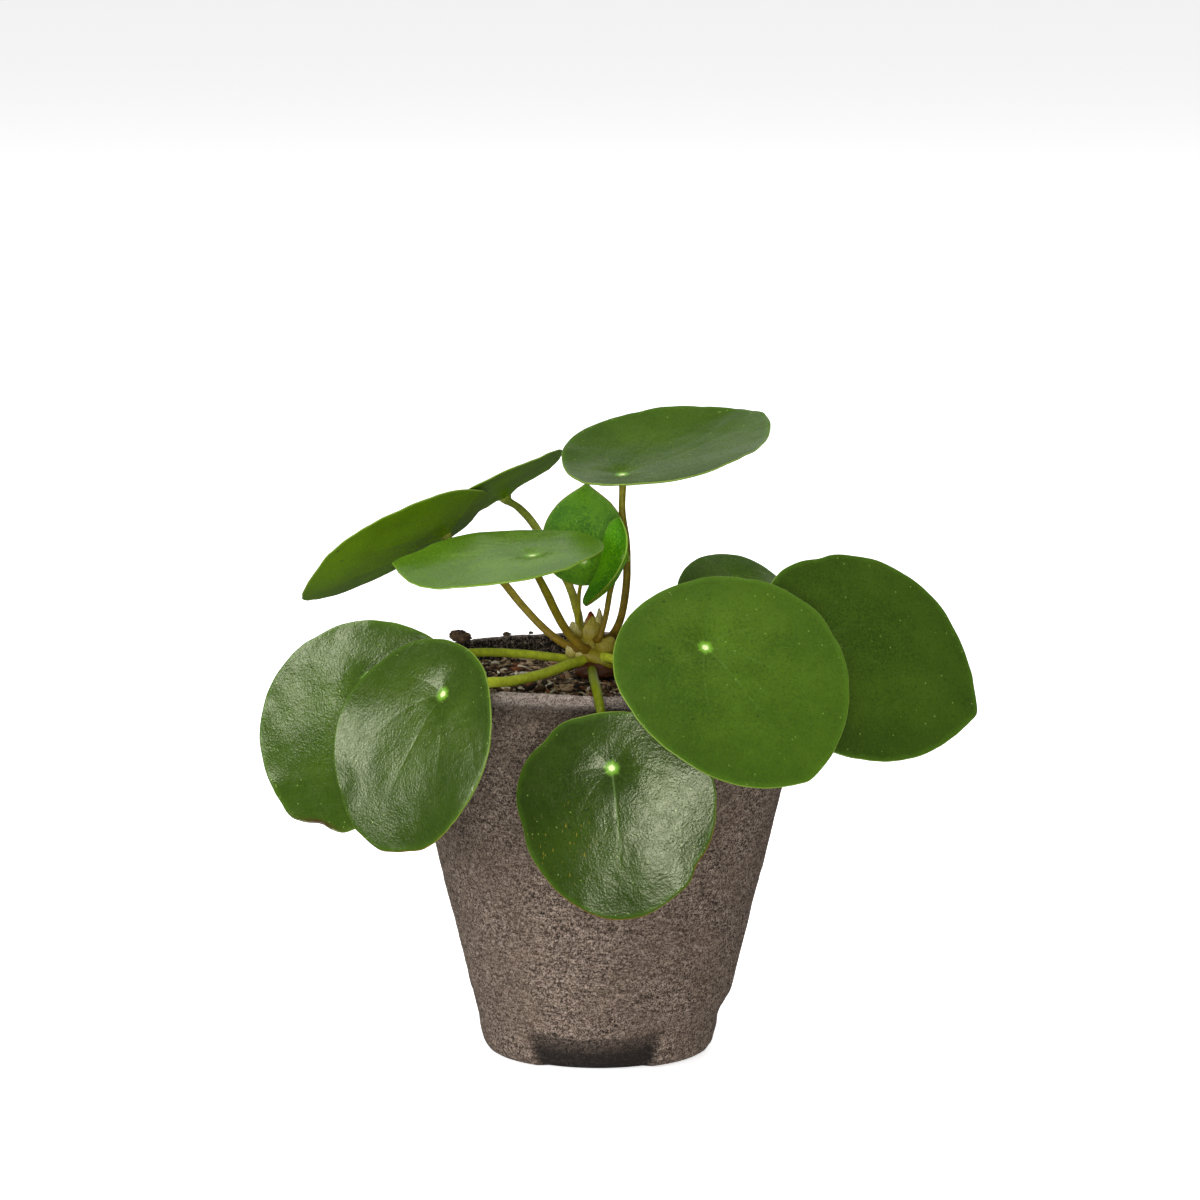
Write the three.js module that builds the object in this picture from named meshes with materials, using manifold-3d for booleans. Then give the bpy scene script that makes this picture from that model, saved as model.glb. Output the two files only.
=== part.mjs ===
// Potted pilea: a moulded-fibre nursery pot full of potting mix, and a young
// pilea with twelve round peltate leaves on long stalks.
// Millimetres, +Z up. The origin is the middle of the pot's flat base, and the
// plant's front (the side with the low front leaf) faces -Y.

import * as THREE from 'three';
import { mergeVertices } from 'three/addons/utils/BufferGeometryUtils.js';
import Module from 'manifold-3d';

const wasm = await Module();
wasm.setup();

// ---------- driving dimensions ----------

const CLEARANCE = 0.3; // between pieces that touch

const POT = {
  rimRadius: 60,
  height: 110,
  lipHeight: 4,
  lipOverhang: 1.8,
  wall: 3,
  coneFootRadius: 37.9, // where the straight cone starts
  coneFootZ: 23,
  footRadius: 33.9, // the narrower foot under the step
  footTopZ: 11,
  contactRadius: 28,
  footShift: -0.9, // the foot sits a little to the left of the rim
  floor: 3.2,
  sides: 48,
};

// shallow recesses round the heel, each centred on a heading in degrees from +X
const POCKETS = { count: 3, firstAngle: -92, halfWidth: 35, edge: 6, depth: 2.6, topZ: 10.4 };

const SOIL = {
  edgeDrop: 6, // below the rim at the pot wall
  mound: 2, // rise towards the crown
  moundRadius: 30,
  relief: 0.9,
  settled: 0.2, // how far the rough ground lies under the smooth edges
  smoothEdge: 1, // width of the smooth ground at the wall and at the crown
  rings: 10,
  sides: 48,
};

const CRUMB = { x: -40.6, y: 41.4, turn: -44, length: 7.4, width: 4.2, height: 3.4, flat: 0.75 };

const CROWN = {
  x: -2.5,
  y: 0,
  radius: 4.2,
  bottomZ: 92,
  scarZ: 110, // a ring-shaped leaf scar
  neckZ: 117,
  topZ: 125,
  sides: 12,
};

// papery scales round the crown: heading from +X, middle height, length, width
const STIPULES = [
  [-25, 116.8, 4.5, 4.2],
  [150, 116.4, 4.6, 4],
  [205, 117, 4.4, 3.6],
  [70, 117.5, 5, 4],
];
const STIPULE = { thickness: 1.6, lean: 8, sunk: 0.5 };

const BLADE_THICKNESS = 0.9;
const BLADE_RINGS = [0.14, 0.42, 0.74, 1]; // shares of the way from stalk to margin
const BLADE_SIDES = 36;
const YOUNG_BLADE = { length: 30, sides: 24 }; // blades shorter than this have fewer sides
const DIMPLE = { depth: 1.1, radius: 5 }; // the sunk navel over the stalk
const TIP = { width: 0.25, roundness: 0.05 }; // the drawn-out tip, in radians round the stalk
const FOLD_ROUNDNESS = 1.2; // along the midrib of a folded blade
const WAVES = 5; // round a blade's margin

// Each leaf: where the stalk meets the blade, and which way the blade faces
// (heading 0 faces the front, 90 the right; tilt 90 faces straight up). Spin turns
// the tip from straight down. behind is the share of the length behind the stalk.
// Curl, twist and ripple are the rise at the margin, in mm. fold is the slope of a
// blade's halves: up from the midrib where the blade is still folded, and slightly
// down where the midrib is a ridge. edge lists [angle from the tip, outward
// step in mm, spread in degrees].
const LEAVES = {
  leaf_01_top: {
    at: [5.7, 12, 162.3], heading: -19.1, tilt: 79.1, spin: 134.2,
    length: 58.6, width: 61.9, behind: 0.247, tip: 1.3, egg: 0.134,
    curlAlong: 3.8, curlAcross: 5.2, twist: 0.5, ripple: 0.3, edge: [],
    stalk: {
      radius: 1.1,
      path: [
        [2.6, 4.8, 116.6], [4.7, 6.5, 119.8], [6, 8, 124],
        [7.1, 10, 133], [6.9, 11.5, 142], [5.8, 12.5, 151],
      ],
    },
  },
  leaf_02_back_left: {
    at: [-28.8, 65, 150], heading: -111.5, tilt: 59, spin: 89,
    length: 54.7, width: 52, behind: 0.267, tip: 2.2, egg: 0,
    curlAlong: 1, curlAcross: 1.4, twist: -0.8, ripple: 0.3, edge: [],
    stalk: {
      radius: 1.2,
      path: [
        [-5.6, 5, 118.8], [-6.8, 11, 122.8], [-9.4, 22, 129.3],
        [-14.1, 34, 135.5], [-19.8, 48, 143.2], [-24.2, 57, 146.7],
      ],
    },
  },
  leaf_03_upper_left: {
    at: [-45.2, 32, 142.9], heading: -117, tilt: 49, spin: 41.5,
    length: 60.5, width: 59.8, behind: 0.274, tip: 0, egg: -0.18,
    curlAlong: 3.5, curlAcross: 4.9, twist: -1, ripple: 0.3, edge: [],
    stalk: {
      radius: 1.1,
      path: [
        [-7.8, 1.8, 113.7], [-13.1, 4, 116.5], [-17.4, 8.5, 119.5], [-23.1, 15, 124.8],
        [-30.2, 23, 131.8],
      ],
    },
  },
  leaf_04_middle_left: {
    at: [-19.1, -21, 143.8], heading: -38.5, tilt: 80.5, spin: -66,
    length: 56.5, width: 54, behind: 0.35, tip: 4.4, egg: -0.02,
    curlAlong: -0.7, curlAcross: -1.1, twist: -1.2, ripple: 0.3, edge: [],
    stalk: {
      radius: 1.2,
      path: [
        [-5, -5.5, 114.8], [-8.8, -7.5, 118.8], [-11.6, -10, 123.6], [-14.7, -14, 130.6],
      ],
    },
  },
  leaf_05_young_upright: {
    at: [-5.2, 10.5, 137.4], heading: -19, tilt: 11.5, spin: 178,
    length: 26.3, width: 25.8, behind: 0.27, tip: 2.8, egg: 0.09,
    curlAlong: 1.2, curlAcross: -0.3, twist: 0, ripple: 0.1, edge: [],
    stalk: {
      radius: 0.6,
      path: [
        [-6.3, 1.6, 119.4], [-6.4, 5, 124], [-6.2, 11, 129],
      ],
    },
  },
  leaf_06_young_folded: {
    at: [6.3, -5.5, 140.4], heading: -75.5, tilt: 15, spin: 14.5,
    length: 25.7, width: 26, behind: 0.415, tip: 1, egg: 0.03,
    curlAlong: 5.4, curlAcross: -1.4, twist: -0.3, ripple: 0.1, fold: 0.4, edge: [],
    stalk: {
      radius: 0.8,
      path: [
        [-0.8, -5.3, 117.6], [0.5, -5, 121.4], [1.5, -4.2, 125.6], [2.4, -3, 130.5],
        [4, -1.7, 135.3], [6, -2, 138.4],
      ],
    },
  },
  leaf_07_right_front: {
    at: [27.9, -62, 124.2], heading: 17, tilt: 42, spin: 26.5,
    length: 65, width: 65.5, behind: 0.315, tip: 2.2, egg: 0.045,
    curlAlong: -2.2, curlAcross: 2.1, twist: -0.4, ripple: 0.4,
    edge: [[99, 0.6, 9], [136, -0.6, 8], [-100, -0.5, 10]],
    stalk: {
      radius: 1.3,
      path: [
        [0.1, -4.6, 112.3], [7, -18, 112.6], [16, -36, 112.8], [24, -50.5, 114.6],
      ],
    },
  },
  leaf_08_far_right: {
    at: [59.1, -35, 122.6], heading: 19.5, tilt: 29.5, spin: 60.5,
    length: 64.5, width: 60, behind: 0.29, tip: 4.2, egg: 0.03,
    curlAlong: -1.1, curlAcross: -0.9, twist: -0.9, ripple: 0.5,
    edge: [[100, 0.4, 8], [132, -0.9, 7], [155, 0.5, 7]],
    stalk: {
      radius: 1.3,
      path: [
        [2.6, -2, 113.6], [18, -8, 113.8], [38, -15.5, 113.4], [53, -22.5, 115.2],
      ],
    },
  },
  leaf_09_back_right: {
    at: [39.5, 37, 128.6], heading: 36, tilt: 63, spin: -22.5,
    length: 43.8, width: 39.7, behind: 0.285, tip: 1.8, egg: -0.07,
    curlAlong: 0.6, curlAcross: -2.3, twist: 0.6, ripple: 0.3, edge: [],
    stalk: {
      radius: 1.1,
      path: [
        [2.4, 2.4, 112.8], [14, 13, 114.2], [28, 29, 117], [37.3, 40, 122.4],
      ],
    },
  },
  leaf_10_left_outer: {
    at: [-64.3, -33.6, 110.8], heading: -28.5, tilt: 21.5, spin: 4.5,
    length: 59.8, width: 64.6, behind: 0.272, tip: 0.3, egg: 0.1,
    curlAlong: 3.1, curlAcross: -0.6, twist: 1, ripple: 0.4, fold: -0.02,
    edge: [[-32, 0.6, 7], [-11, -1.4, 7], [5, 0.7, 6], [-152, -0.5, 8]],
    stalk: {
      radius: 1.2,
      path: [
        [-7.9, 0.1, 110.6], [-20, -4, 112.9], [-34, -10.5, 114.5], [-50, -20.5, 114],
        [-58.7, -27.6, 112.1],
      ],
    },
  },
  leaf_11_left_inner: {
    at: [-42.9, -64.6, 111.8], heading: -45, tilt: 24.5, spin: -19.7,
    length: 58.3, width: 56.7, behind: 0.236, tip: 0.6, egg: 0.065,
    curlAlong: -2.6, curlAcross: 0.9, twist: -3.8, ripple: 0.4,
    edge: [[-15, 0.5, 6], [8, 0.5, 6], [30, -0.5, 8]],
    stalk: {
      radius: 1.4,
      path: [
        [-5.4, -4.8, 111.2], [-16.9, -28, 111], [-24.9, -43, 111.6], [-31.5, -55, 112.9],
        [-37.2, -61, 111.6],
      ],
    },
  },
  leaf_12_front: {
    at: [2.5, -77, 93.7], heading: -9, tilt: 9.5, spin: 6.5,
    length: 55.3, width: 53.3, behind: 0.27, tip: 0.1, egg: 0.14,
    curlAlong: -1.7, curlAcross: -2.7, twist: -0.9, ripple: 0.4, fold: -0.02,
    edge: [[-156, 0.6, 8], [-141, -0.7, 8], [-88, -0.8, 10], [45, 0.5, 6], [58, -0.7, 7]],
    stalk: {
      radius: 1.3,
      path: [
        [-2.7, -5.5, 108.7], [-2.4, -25, 110.6], [-2, -46, 112.1], [-1.5, -58, 112.2],
        [-0.7, -65.5, 109.6], [0.4, -69.5, 104.5], [1.8, -71.3, 98.5],
      ],
    },
  },
};

// ---------- helpers ----------

const radians = (degrees) => (degrees * Math.PI) / 180;
const smooth = (x) => THREE.MathUtils.smoothstep(x, 0, 1);

// repeatable value between -1 and 1 for a pair of whole numbers
function scatter(i, j) {
  const x = Math.sin(i * 127.1 + j * 311.7 + 74.7) * 43758.5453;
  return 2 * (x - Math.floor(x)) - 1;
}

function mesh(name, geometry, color, roughness) {
  const material = new THREE.MeshStandardMaterial({ color, roughness, metalness: 0 });
  const piece = new THREE.Mesh(geometry, material);
  piece.name = name;
  return piece;
}

function welded(geometry) {
  geometry.deleteAttribute('normal');
  geometry.deleteAttribute('uv');
  const joined = mergeVertices(geometry, 1e-4);
  joined.computeVertexNormals();
  return joined;
}

function solid(geometry) {
  const shape = welded(geometry.clone());
  return new wasm.Manifold(new wasm.Mesh({
    numProp: 3,
    vertProperties: new Float32Array(shape.attributes.position.array),
    triVerts: new Uint32Array(shape.index.array),
  }));
}

function geometryOf(manifold) {
  const data = manifold.getMesh();
  const points = new Float32Array(data.vertProperties);
  const geometry = new THREE.BufferGeometry();
  geometry.setAttribute('position', new THREE.BufferAttribute(points, 3));
  geometry.setIndex(new THREE.BufferAttribute(new Uint32Array(data.triVerts), 1));
  geometry.computeVertexNormals();
  return geometry;
}

// a lathe about +Z from [radius, z] pairs that start and end on the axis
function turned(profile, sides) {
  const points = profile.map(([r, z]) => new THREE.Vector2(r, z));
  return new THREE.LatheGeometry(points, sides).rotateX(Math.PI / 2);
}

function eachVertex(geometry, move) {
  const position = geometry.attributes.position;
  const p = new THREE.Vector3();
  for (let i = 0; i < position.count; i += 1) {
    p.fromBufferAttribute(position, i);
    move(p, i);
    position.setXYZ(i, p.x, p.y, p.z);
  }
  return geometry;
}

// ---------- pot ----------

const coneTopZ = POT.height - POT.lipHeight;
const coneTopRadius = POT.rimRadius - POT.lipOverhang;

function coneRadius(z) {
  const t = (z - POT.coneFootZ) / (coneTopZ - POT.coneFootZ);
  return THREE.MathUtils.lerp(POT.coneFootRadius, coneTopRadius, t);
}

const FOOT_BLEND = 7; // height over which the foot's shift fades out

// how far into a foot pocket a heading lies: 0 outside, 1 inside
function pocketShare(angle) {
  const pitch = 360 / POCKETS.count;
  const turn = THREE.MathUtils.euclideanModulo(angle - POCKETS.firstAngle + pitch / 2, pitch);
  return smooth((POCKETS.halfWidth - Math.abs(turn - pitch / 2)) / POCKETS.edge);
}

// rows of [radius, z, share of the pocket depth]: up the outside and down the inside
function potProfile() {
  const { rimRadius, height, wall, footRadius, footTopZ, contactRadius, floor } = POT;
  const base = [
    [0, 0],
    [contactRadius, 0, 0.8],
  ];
  const foot = [
    [contactRadius + 2.8, 0.8, 1],
    [footRadius - 1.5, 3, 0.85],
    [footRadius - 0.4, 7.5, 0.5],
    [footRadius - 0.2, POCKETS.topZ],
    [footRadius, footTopZ],
  ];
  const step = [
    [footRadius + 1.7, footTopZ + 4.6],
    [footRadius + 3.1, footTopZ + 8],
  ];
  const cone = [POT.coneFootZ, (POT.coneFootZ + coneTopZ) / 2, coneTopZ].map((z) => [coneRadius(z), z]);
  const lip = [
    [rimRadius - 0.4, coneTopZ + 0.8],
    [rimRadius, height - 1.9],
    [rimRadius - 0.7, height - 0.4],
    [rimRadius - 2.1, height],
    [rimRadius - 3.6, height - 0.3],
    [rimRadius - 4.2, height - 1.5],
  ];
  const inside = [
    [coneTopRadius - wall, coneTopZ],
    [POT.coneFootRadius - wall, POT.coneFootZ],
    [footRadius - wall + 2.2, footTopZ + 7],
    [footRadius - wall, footTopZ + 1],
    [footRadius - wall - 0.8, footTopZ - 4],
    [contactRadius - 0.6, floor + 0.3],
    [0, floor],
  ];
  return [...base, ...foot, ...step, ...cone, ...lip, ...inside];
}

function potShell() {
  const profile = potProfile();
  const outsideRows = profile.findIndex(([, z]) => z === POT.height);
  return eachVertex(turned(profile, POT.sides), (p, i) => {
    const row = i % profile.length;
    const [radius, z, share = 0] = profile[row];
    const angle = THREE.MathUtils.radToDeg(Math.atan2(p.y, p.x));
    if (share > 0) {
      const inward = 1 - (share * POCKETS.depth * pocketShare(angle)) / radius;
      p.x *= inward;
      p.y *= inward;
    }
    if (row < outsideRows) p.x += POT.footShift * (1 - smooth((z - POT.footTopZ) / FOOT_BLEND));
  });
}

// ---------- soil ----------

const soilEdgeZ = POT.height - SOIL.edgeDrop;
const soilTopZ = (radius) => soilEdgeZ + SOIL.mound * (1 - smooth(radius / SOIL.moundRadius));

function soilBody() {
  const holeRadius = CROWN.radius + CLEARANCE;
  const inner = POT.wall + CLEARANCE;
  const topRadius = coneRadius(soilEdgeZ) - inner;
  const below = [
    [0, POT.floor + CLEARANCE],
    [POT.contactRadius - 1, POT.floor + 2 * CLEARANCE],
    [POT.footRadius - inner - 0.9, POT.footTopZ - 3.8],
    [POT.footRadius - inner, POT.footTopZ + 1.2],
    [POT.footRadius - inner + 2.1, POT.footTopZ + 7.2],
    [POT.coneFootRadius - inner, POT.coneFootZ + CLEARANCE],
    [topRadius, soilEdgeZ],
  ];
  const top = [];
  for (let ring = SOIL.rings - 1; ring >= 0; ring -= 1) {
    const radius = THREE.MathUtils.lerp(holeRadius, topRadius, ring / SOIL.rings);
    top.push([radius, soilTopZ(radius)]);
  }
  const hole = [
    [holeRadius, CROWN.bottomZ],
    [0, CROWN.bottomZ],
  ];
  return eachVertex(turned([...below, ...top, ...hole], SOIL.sides), (p) => {
    const radius = Math.hypot(p.x, p.y);
    const offEdge = Math.min(radius - holeRadius, topRadius - radius);
    if (p.z > soilEdgeZ - CLEARANCE && offEdge > SOIL.smoothEdge) {
      p.z += SOIL.relief * scatter(Math.round(p.x * 3), Math.round(p.y * 3)) - SOIL.settled;
    }
    // the planting hole is centred on the crown, and the wall on the pot
    if (p.z >= CROWN.bottomZ) {
      const share = THREE.MathUtils.clamp((topRadius - radius) / (topRadius - holeRadius), 0, 1);
      p.x += CROWN.x * share;
      p.y += CROWN.y * share;
    }
  });
}

// a crumb of potting mix lying on the back left of the rim
function rimCrumb() {
  const half = new THREE.Vector3(CRUMB.length / 2, CRUMB.width / 2, CRUMB.height / 2);
  return eachVertex(new THREE.IcosahedronGeometry(1, 1), (p) => {
    const lump = 1 + 0.22 * scatter(Math.round(p.x * 7), Math.round(p.y * 5 + p.z * 9));
    p.multiplyScalar(lump);
    p.z = Math.max(p.z, -CRUMB.flat);
    p.multiply(half);
  });
}

// ---------- crown ----------

// papery scale pressed on the crown's flank
function stipule([heading, z, length, width]) {
  const scale = new THREE.SphereGeometry(0.5, 8, 6);
  scale.scale(STIPULE.thickness, width, length);
  scale.rotateY(radians(STIPULE.lean));
  scale.translate(CROWN.radius - STIPULE.sunk, 0, z);
  scale.rotateZ(radians(heading));
  return scale.translate(CROWN.x, CROWN.y, 0);
}

function crownBody() {
  const { radius, bottomZ, scarZ, neckZ, topZ, sides } = CROWN;
  const profile = [
    [0, bottomZ + 0.5],
    [radius - 0.8, bottomZ + 0.5],
    [radius - 0.2, bottomZ + 3],
    [radius, scarZ - 2],
    [radius - 0.5, scarZ],
    [radius, scarZ + 2],
    [radius, neckZ - 2],
    [radius - 1.3, neckZ + 1.5],
    [radius - 2, neckZ + 4],
    [radius - 3, topZ - 1.4],
    [0, topZ],
  ];
  const stem = solid(turned(profile, sides).translate(CROWN.x, CROWN.y, 0));
  return geometryOf(STIPULES.reduce((body, scale) => body.add(solid(stipule(scale))), stem));
}

// ---------- leaves ----------

function bladeFrame(leaf) {
  const heading = radians(leaf.heading);
  const tilt = radians(leaf.tilt);
  const spin = radians(leaf.spin);
  const level = new THREE.Vector3(Math.sin(heading), -Math.cos(heading), 0);
  const face = level.multiplyScalar(Math.cos(tilt)).setZ(Math.sin(tilt));
  const down = new THREE.Vector3(0, 0, -1);
  const fall = down.clone().addScaledVector(face, -down.dot(face)).normalize();
  const side = new THREE.Vector3().crossVectors(face, fall);
  const along = fall.multiplyScalar(Math.cos(spin)).addScaledVector(side, Math.sin(spin));
  const across = new THREE.Vector3().crossVectors(face, along);
  return { face, along, across, at: new THREE.Vector3(...leaf.at) };
}

// outline of the blade in its own plane, with the stalk at 0,0 and the tip along +u
function marginPoint(leaf, angle) {
  const degrees = THREE.MathUtils.radToDeg(angle);
  const turn = THREE.MathUtils.euclideanModulo(angle + Math.PI, 2 * Math.PI) - Math.PI;
  const point = leaf.tip * Math.exp(-Math.hypot(turn, TIP.roundness) / TIP.width);
  const steps = leaf.edge.reduce((sum, [at, out, spread]) => {
    const off = (THREE.MathUtils.euclideanModulo(degrees - at + 180, 360) - 180) / spread;
    return sum + out * Math.exp(-off * off);
  }, 0);
  const u = (leaf.length / 2 + steps) * Math.cos(angle) + leaf.length * (0.5 - leaf.behind) + point;
  const v = (leaf.width / 2 + steps) * Math.sin(angle) * (1 - leaf.egg * Math.cos(angle));
  return [u, v];
}

// height of the blade's middle surface over its plane
function bladeRise(leaf, u, v, share, angle) {
  const x = u / (leaf.length / 2);
  const y = v / (leaf.width / 2);
  const curl = leaf.curlAlong * x * x + leaf.curlAcross * y * y + leaf.twist * x * y;
  const wave = leaf.ripple * share ** 3 * Math.sin(WAVES * angle + leaf.length);
  const keel = (leaf.fold ?? 0) * (Math.hypot(v, FOLD_ROUNDNESS) - FOLD_ROUNDNESS);
  return curl + wave + keel - navelDepth(leaf) * Math.exp(-(u * u + v * v) / DIMPLE.radius ** 2);
}

const navelDepth = (leaf) => (leaf.fold ? 0 : DIMPLE.depth);

// The rings run from the stalk to the margin on the top face, then on the bottom
// face. Both faces have the same triangles, so they stay a constant distance apart.
function blade(leaf, sides) {
  const { face, along, across, at } = bladeFrame(leaf);
  const narrowing = 1 / Math.hypot(1, leaf.fold ?? 0);
  const positions = [];
  const addPoint = (angle, share, lift) => {
    const [u, v] = marginPoint(leaf, angle).map((length) => length * share);
    const p = at.clone().addScaledVector(along, u).addScaledVector(across, v * narrowing)
      .addScaledVector(face, bladeRise(leaf, u, v, share, angle) + lift);
    positions.push(p.x, p.y, p.z);
  };
  for (const lift of [BLADE_THICKNESS / 2, -BLADE_THICKNESS / 2]) {
    addPoint(0, 0, lift);
    for (const share of BLADE_RINGS) {
      for (let k = 0; k < sides; k += 1) addPoint((2 * Math.PI * k) / sides, share, lift);
    }
  }

  const faces = [];
  const perSide = 1 + BLADE_RINGS.length * sides;
  const corner = (bottom, ring, k) => bottom * perSide + 1 + ring * sides + (k % sides);
  const addFace = (bottom, a, b, c) => faces.push(...(bottom ? [a, c, b] : [a, b, c]));
  for (let k = 0; k < sides; k += 1) {
    for (const bottom of [0, 1]) {
      addFace(bottom, bottom * perSide, corner(bottom, 0, k), corner(bottom, 0, k + 1));
      for (let ring = 1; ring < BLADE_RINGS.length; ring += 1) {
        const inner = corner(bottom, ring - 1, k);
        const outer = corner(bottom, ring, k);
        const nextOuter = corner(bottom, ring, k + 1);
        addFace(bottom, inner, outer, nextOuter);
        addFace(bottom, inner, nextOuter, corner(bottom, ring - 1, k + 1));
      }
    }
    const [margin, under] = [0, 1].map((bottom) => corner(bottom, BLADE_RINGS.length - 1, k));
    const [nextMargin, nextUnder] = [0, 1].map((bottom) => corner(bottom, BLADE_RINGS.length - 1, k + 1));
    faces.push(margin, under, nextUnder, margin, nextUnder, nextMargin);
  }

  const geometry = new THREE.BufferGeometry();
  geometry.setAttribute('position', new THREE.Float32BufferAttribute(positions, 3));
  geometry.setIndex(faces);
  geometry.computeVertexNormals();
  return geometry;
}

// the stalk runs along its path and ends just under the blade, square to it
function stalk(leaf) {
  const { face, at } = bladeFrame(leaf);
  const { radius } = leaf.stalk;
  const end = at.addScaledVector(face, -navelDepth(leaf) - BLADE_THICKNESS / 2 - CLEARANCE);
  const path = leaf.stalk.path.map((p) => new THREE.Vector3(...p));
  path.push(end.clone().addScaledVector(face, -1.5 * radius), end);
  const curve = new THREE.CatmullRomCurve3(path, false, 'centripetal');
  const section = new THREE.Shape().absarc(0, 0, radius, 0, 2 * Math.PI);
  return new THREE.ExtrudeGeometry(section, {
    steps: Math.ceil(curve.getLength() / (6 * radius)) + 4,
    curveSegments: 4,
    bevelEnabled: false,
    extrudePath: curve,
  });
}

// ---------- assembly ----------

const plant = new THREE.Group();
plant.add(mesh('pot', welded(potShell()), 0x8b7a70, 0.95));
plant.add(mesh('soil', welded(soilBody()), 0x3a2a22, 1));

const crumb = mesh('rim_crumb', welded(rimCrumb()), 0x2e211b, 1);
crumb.position.set(CRUMB.x, CRUMB.y, POT.height + CLEARANCE + (CRUMB.flat * CRUMB.height) / 2);
crumb.rotation.z = radians(CRUMB.turn);
plant.add(crumb);

plant.add(mesh('crown', crownBody(), 0x6f6a2c, 0.7));

for (const [name, leaf] of Object.entries(LEAVES)) {
  const sides = leaf.length < YOUNG_BLADE.length ? YOUNG_BLADE.sides : BLADE_SIDES;
  plant.add(mesh(`${name}_blade`, blade(leaf, sides), 0x2f5c1e, 0.35));
  plant.add(mesh(`${name}_stalk`, welded(stalk(leaf)), 0x6f7a25, 0.5));
}

export default plant;
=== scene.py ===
"""A young pilea in a pot of moulded plant fibre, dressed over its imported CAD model.

Lengths are millimetres in the model's own frame (+Z up, front towards -Y), and
each mesh is written in metres. The leaves repeat the CAD model's poses and
outlines, with finer surfaces.
"""

import itertools
import math
from collections.abc import Sequence
from dataclasses import dataclass
from types import SimpleNamespace

import bpy
import numpy as np
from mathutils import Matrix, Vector


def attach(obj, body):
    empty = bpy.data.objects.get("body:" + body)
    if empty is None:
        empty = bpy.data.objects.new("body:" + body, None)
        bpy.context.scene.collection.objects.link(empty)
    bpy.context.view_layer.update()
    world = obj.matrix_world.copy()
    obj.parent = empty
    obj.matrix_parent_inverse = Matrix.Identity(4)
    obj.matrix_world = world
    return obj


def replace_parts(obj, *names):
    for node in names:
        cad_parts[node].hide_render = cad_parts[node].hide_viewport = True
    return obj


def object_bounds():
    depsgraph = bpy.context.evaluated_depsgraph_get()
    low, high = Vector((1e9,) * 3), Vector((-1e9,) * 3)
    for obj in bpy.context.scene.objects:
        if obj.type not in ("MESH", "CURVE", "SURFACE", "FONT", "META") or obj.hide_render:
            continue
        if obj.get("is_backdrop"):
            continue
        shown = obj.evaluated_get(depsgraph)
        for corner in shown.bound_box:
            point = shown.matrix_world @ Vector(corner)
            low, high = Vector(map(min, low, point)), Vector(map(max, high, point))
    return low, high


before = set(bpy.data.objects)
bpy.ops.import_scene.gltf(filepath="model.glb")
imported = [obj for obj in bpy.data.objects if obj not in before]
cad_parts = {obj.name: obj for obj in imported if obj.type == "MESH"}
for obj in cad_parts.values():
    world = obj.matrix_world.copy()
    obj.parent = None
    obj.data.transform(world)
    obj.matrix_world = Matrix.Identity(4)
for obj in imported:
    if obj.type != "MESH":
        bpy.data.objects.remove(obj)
cad_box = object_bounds()

MM = 0.001

# ---------- driving dimensions ----------

POT = SimpleNamespace(
    rim_radius=60,
    height=110,
    lip_height=4,
    lip_overhang=1.8,
    wall=3,
    cone_foot_radius=37.9,
    cone_foot_z=23,
    foot_radius=33.9,
    foot_top_z=11,
    contact_radius=28,
    foot_shift=-0.9,
    floor=3.2,
)
POCKETS = SimpleNamespace(count=3, first_angle=-92, half_width=35, edge=6, depth=2.6, top_z=10.4)
SOIL = SimpleNamespace(edge_drop=6, mound=2, mound_radius=30)
CRUMB = SimpleNamespace(x=-40.6, y=41.4, turn=-44, length=7.4, width=4.2, height=3.4, flat=0.75)
CROWN = SimpleNamespace(x=-2.5, y=0.0, radius=4.2, bottom_z=92)
CLEARANCE = 0.3  # between pieces that touch

CAD_THICKNESS = 0.9  # of a CAD blade
BLADE_HALF = 0.3  # half the thickness of a blade here
MARGIN_ROUND = 0.5  # width of the rounded strip at a blade's margin
DIMPLE = SimpleNamespace(depth=1.1, radius=5)  # the sunk navel over the stalk
TIP = SimpleNamespace(width=0.25, roundness=0.05)  # the drawn-out tip, in radians
FOLD_ROUNDNESS = 1.2  # along the midrib of a folded blade
WAVES = 5  # round a blade's margin


@dataclass
class Leaf:
    """One leaf's pose and outline, as in the CAD model, and its looks."""

    at: tuple  # where the stalk meets the blade
    facing: tuple  # heading (0 front, 90 right), tilt (90 straight up) and spin of the tip from down
    length: float
    width: float
    behind: float  # share of the length behind the stalk
    tip: float  # how far the tip is drawn out
    egg: float  # how much the blade narrows towards its tip
    curl: tuple  # rise of the margin along and across the blade, and twist
    radius: float  # of the stalk
    tones: tuple  # of the stalk, at its foot and at its blade
    path: Sequence  # points on the stalk, from the crown
    ripple: float = 0.3  # height of the margin's waves
    fold: float = 0  # slope of the two halves up from the midrib, or a faint ridge below 0
    edge: Sequence = ()  # (angle from the tip, outward step, spread in degrees)
    neck: float = 1.5  # stalk radii over which the stalk meets the blade squarely
    shade: float = 1  # how dark the blade is, partly its own tone and partly painted light and shade for how lit it looks
    midrib: float = 0  # how pale its midrib is
    pucker: float = 1  # how uneven its surface is
    rust: Sequence = ()  # (angle, spread) where the margin is reddish
    scorch: Sequence = ()  # and where it is brown
    scratched: tuple = (99, 99, 1)  # place and reach of a scratched patch


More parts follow.
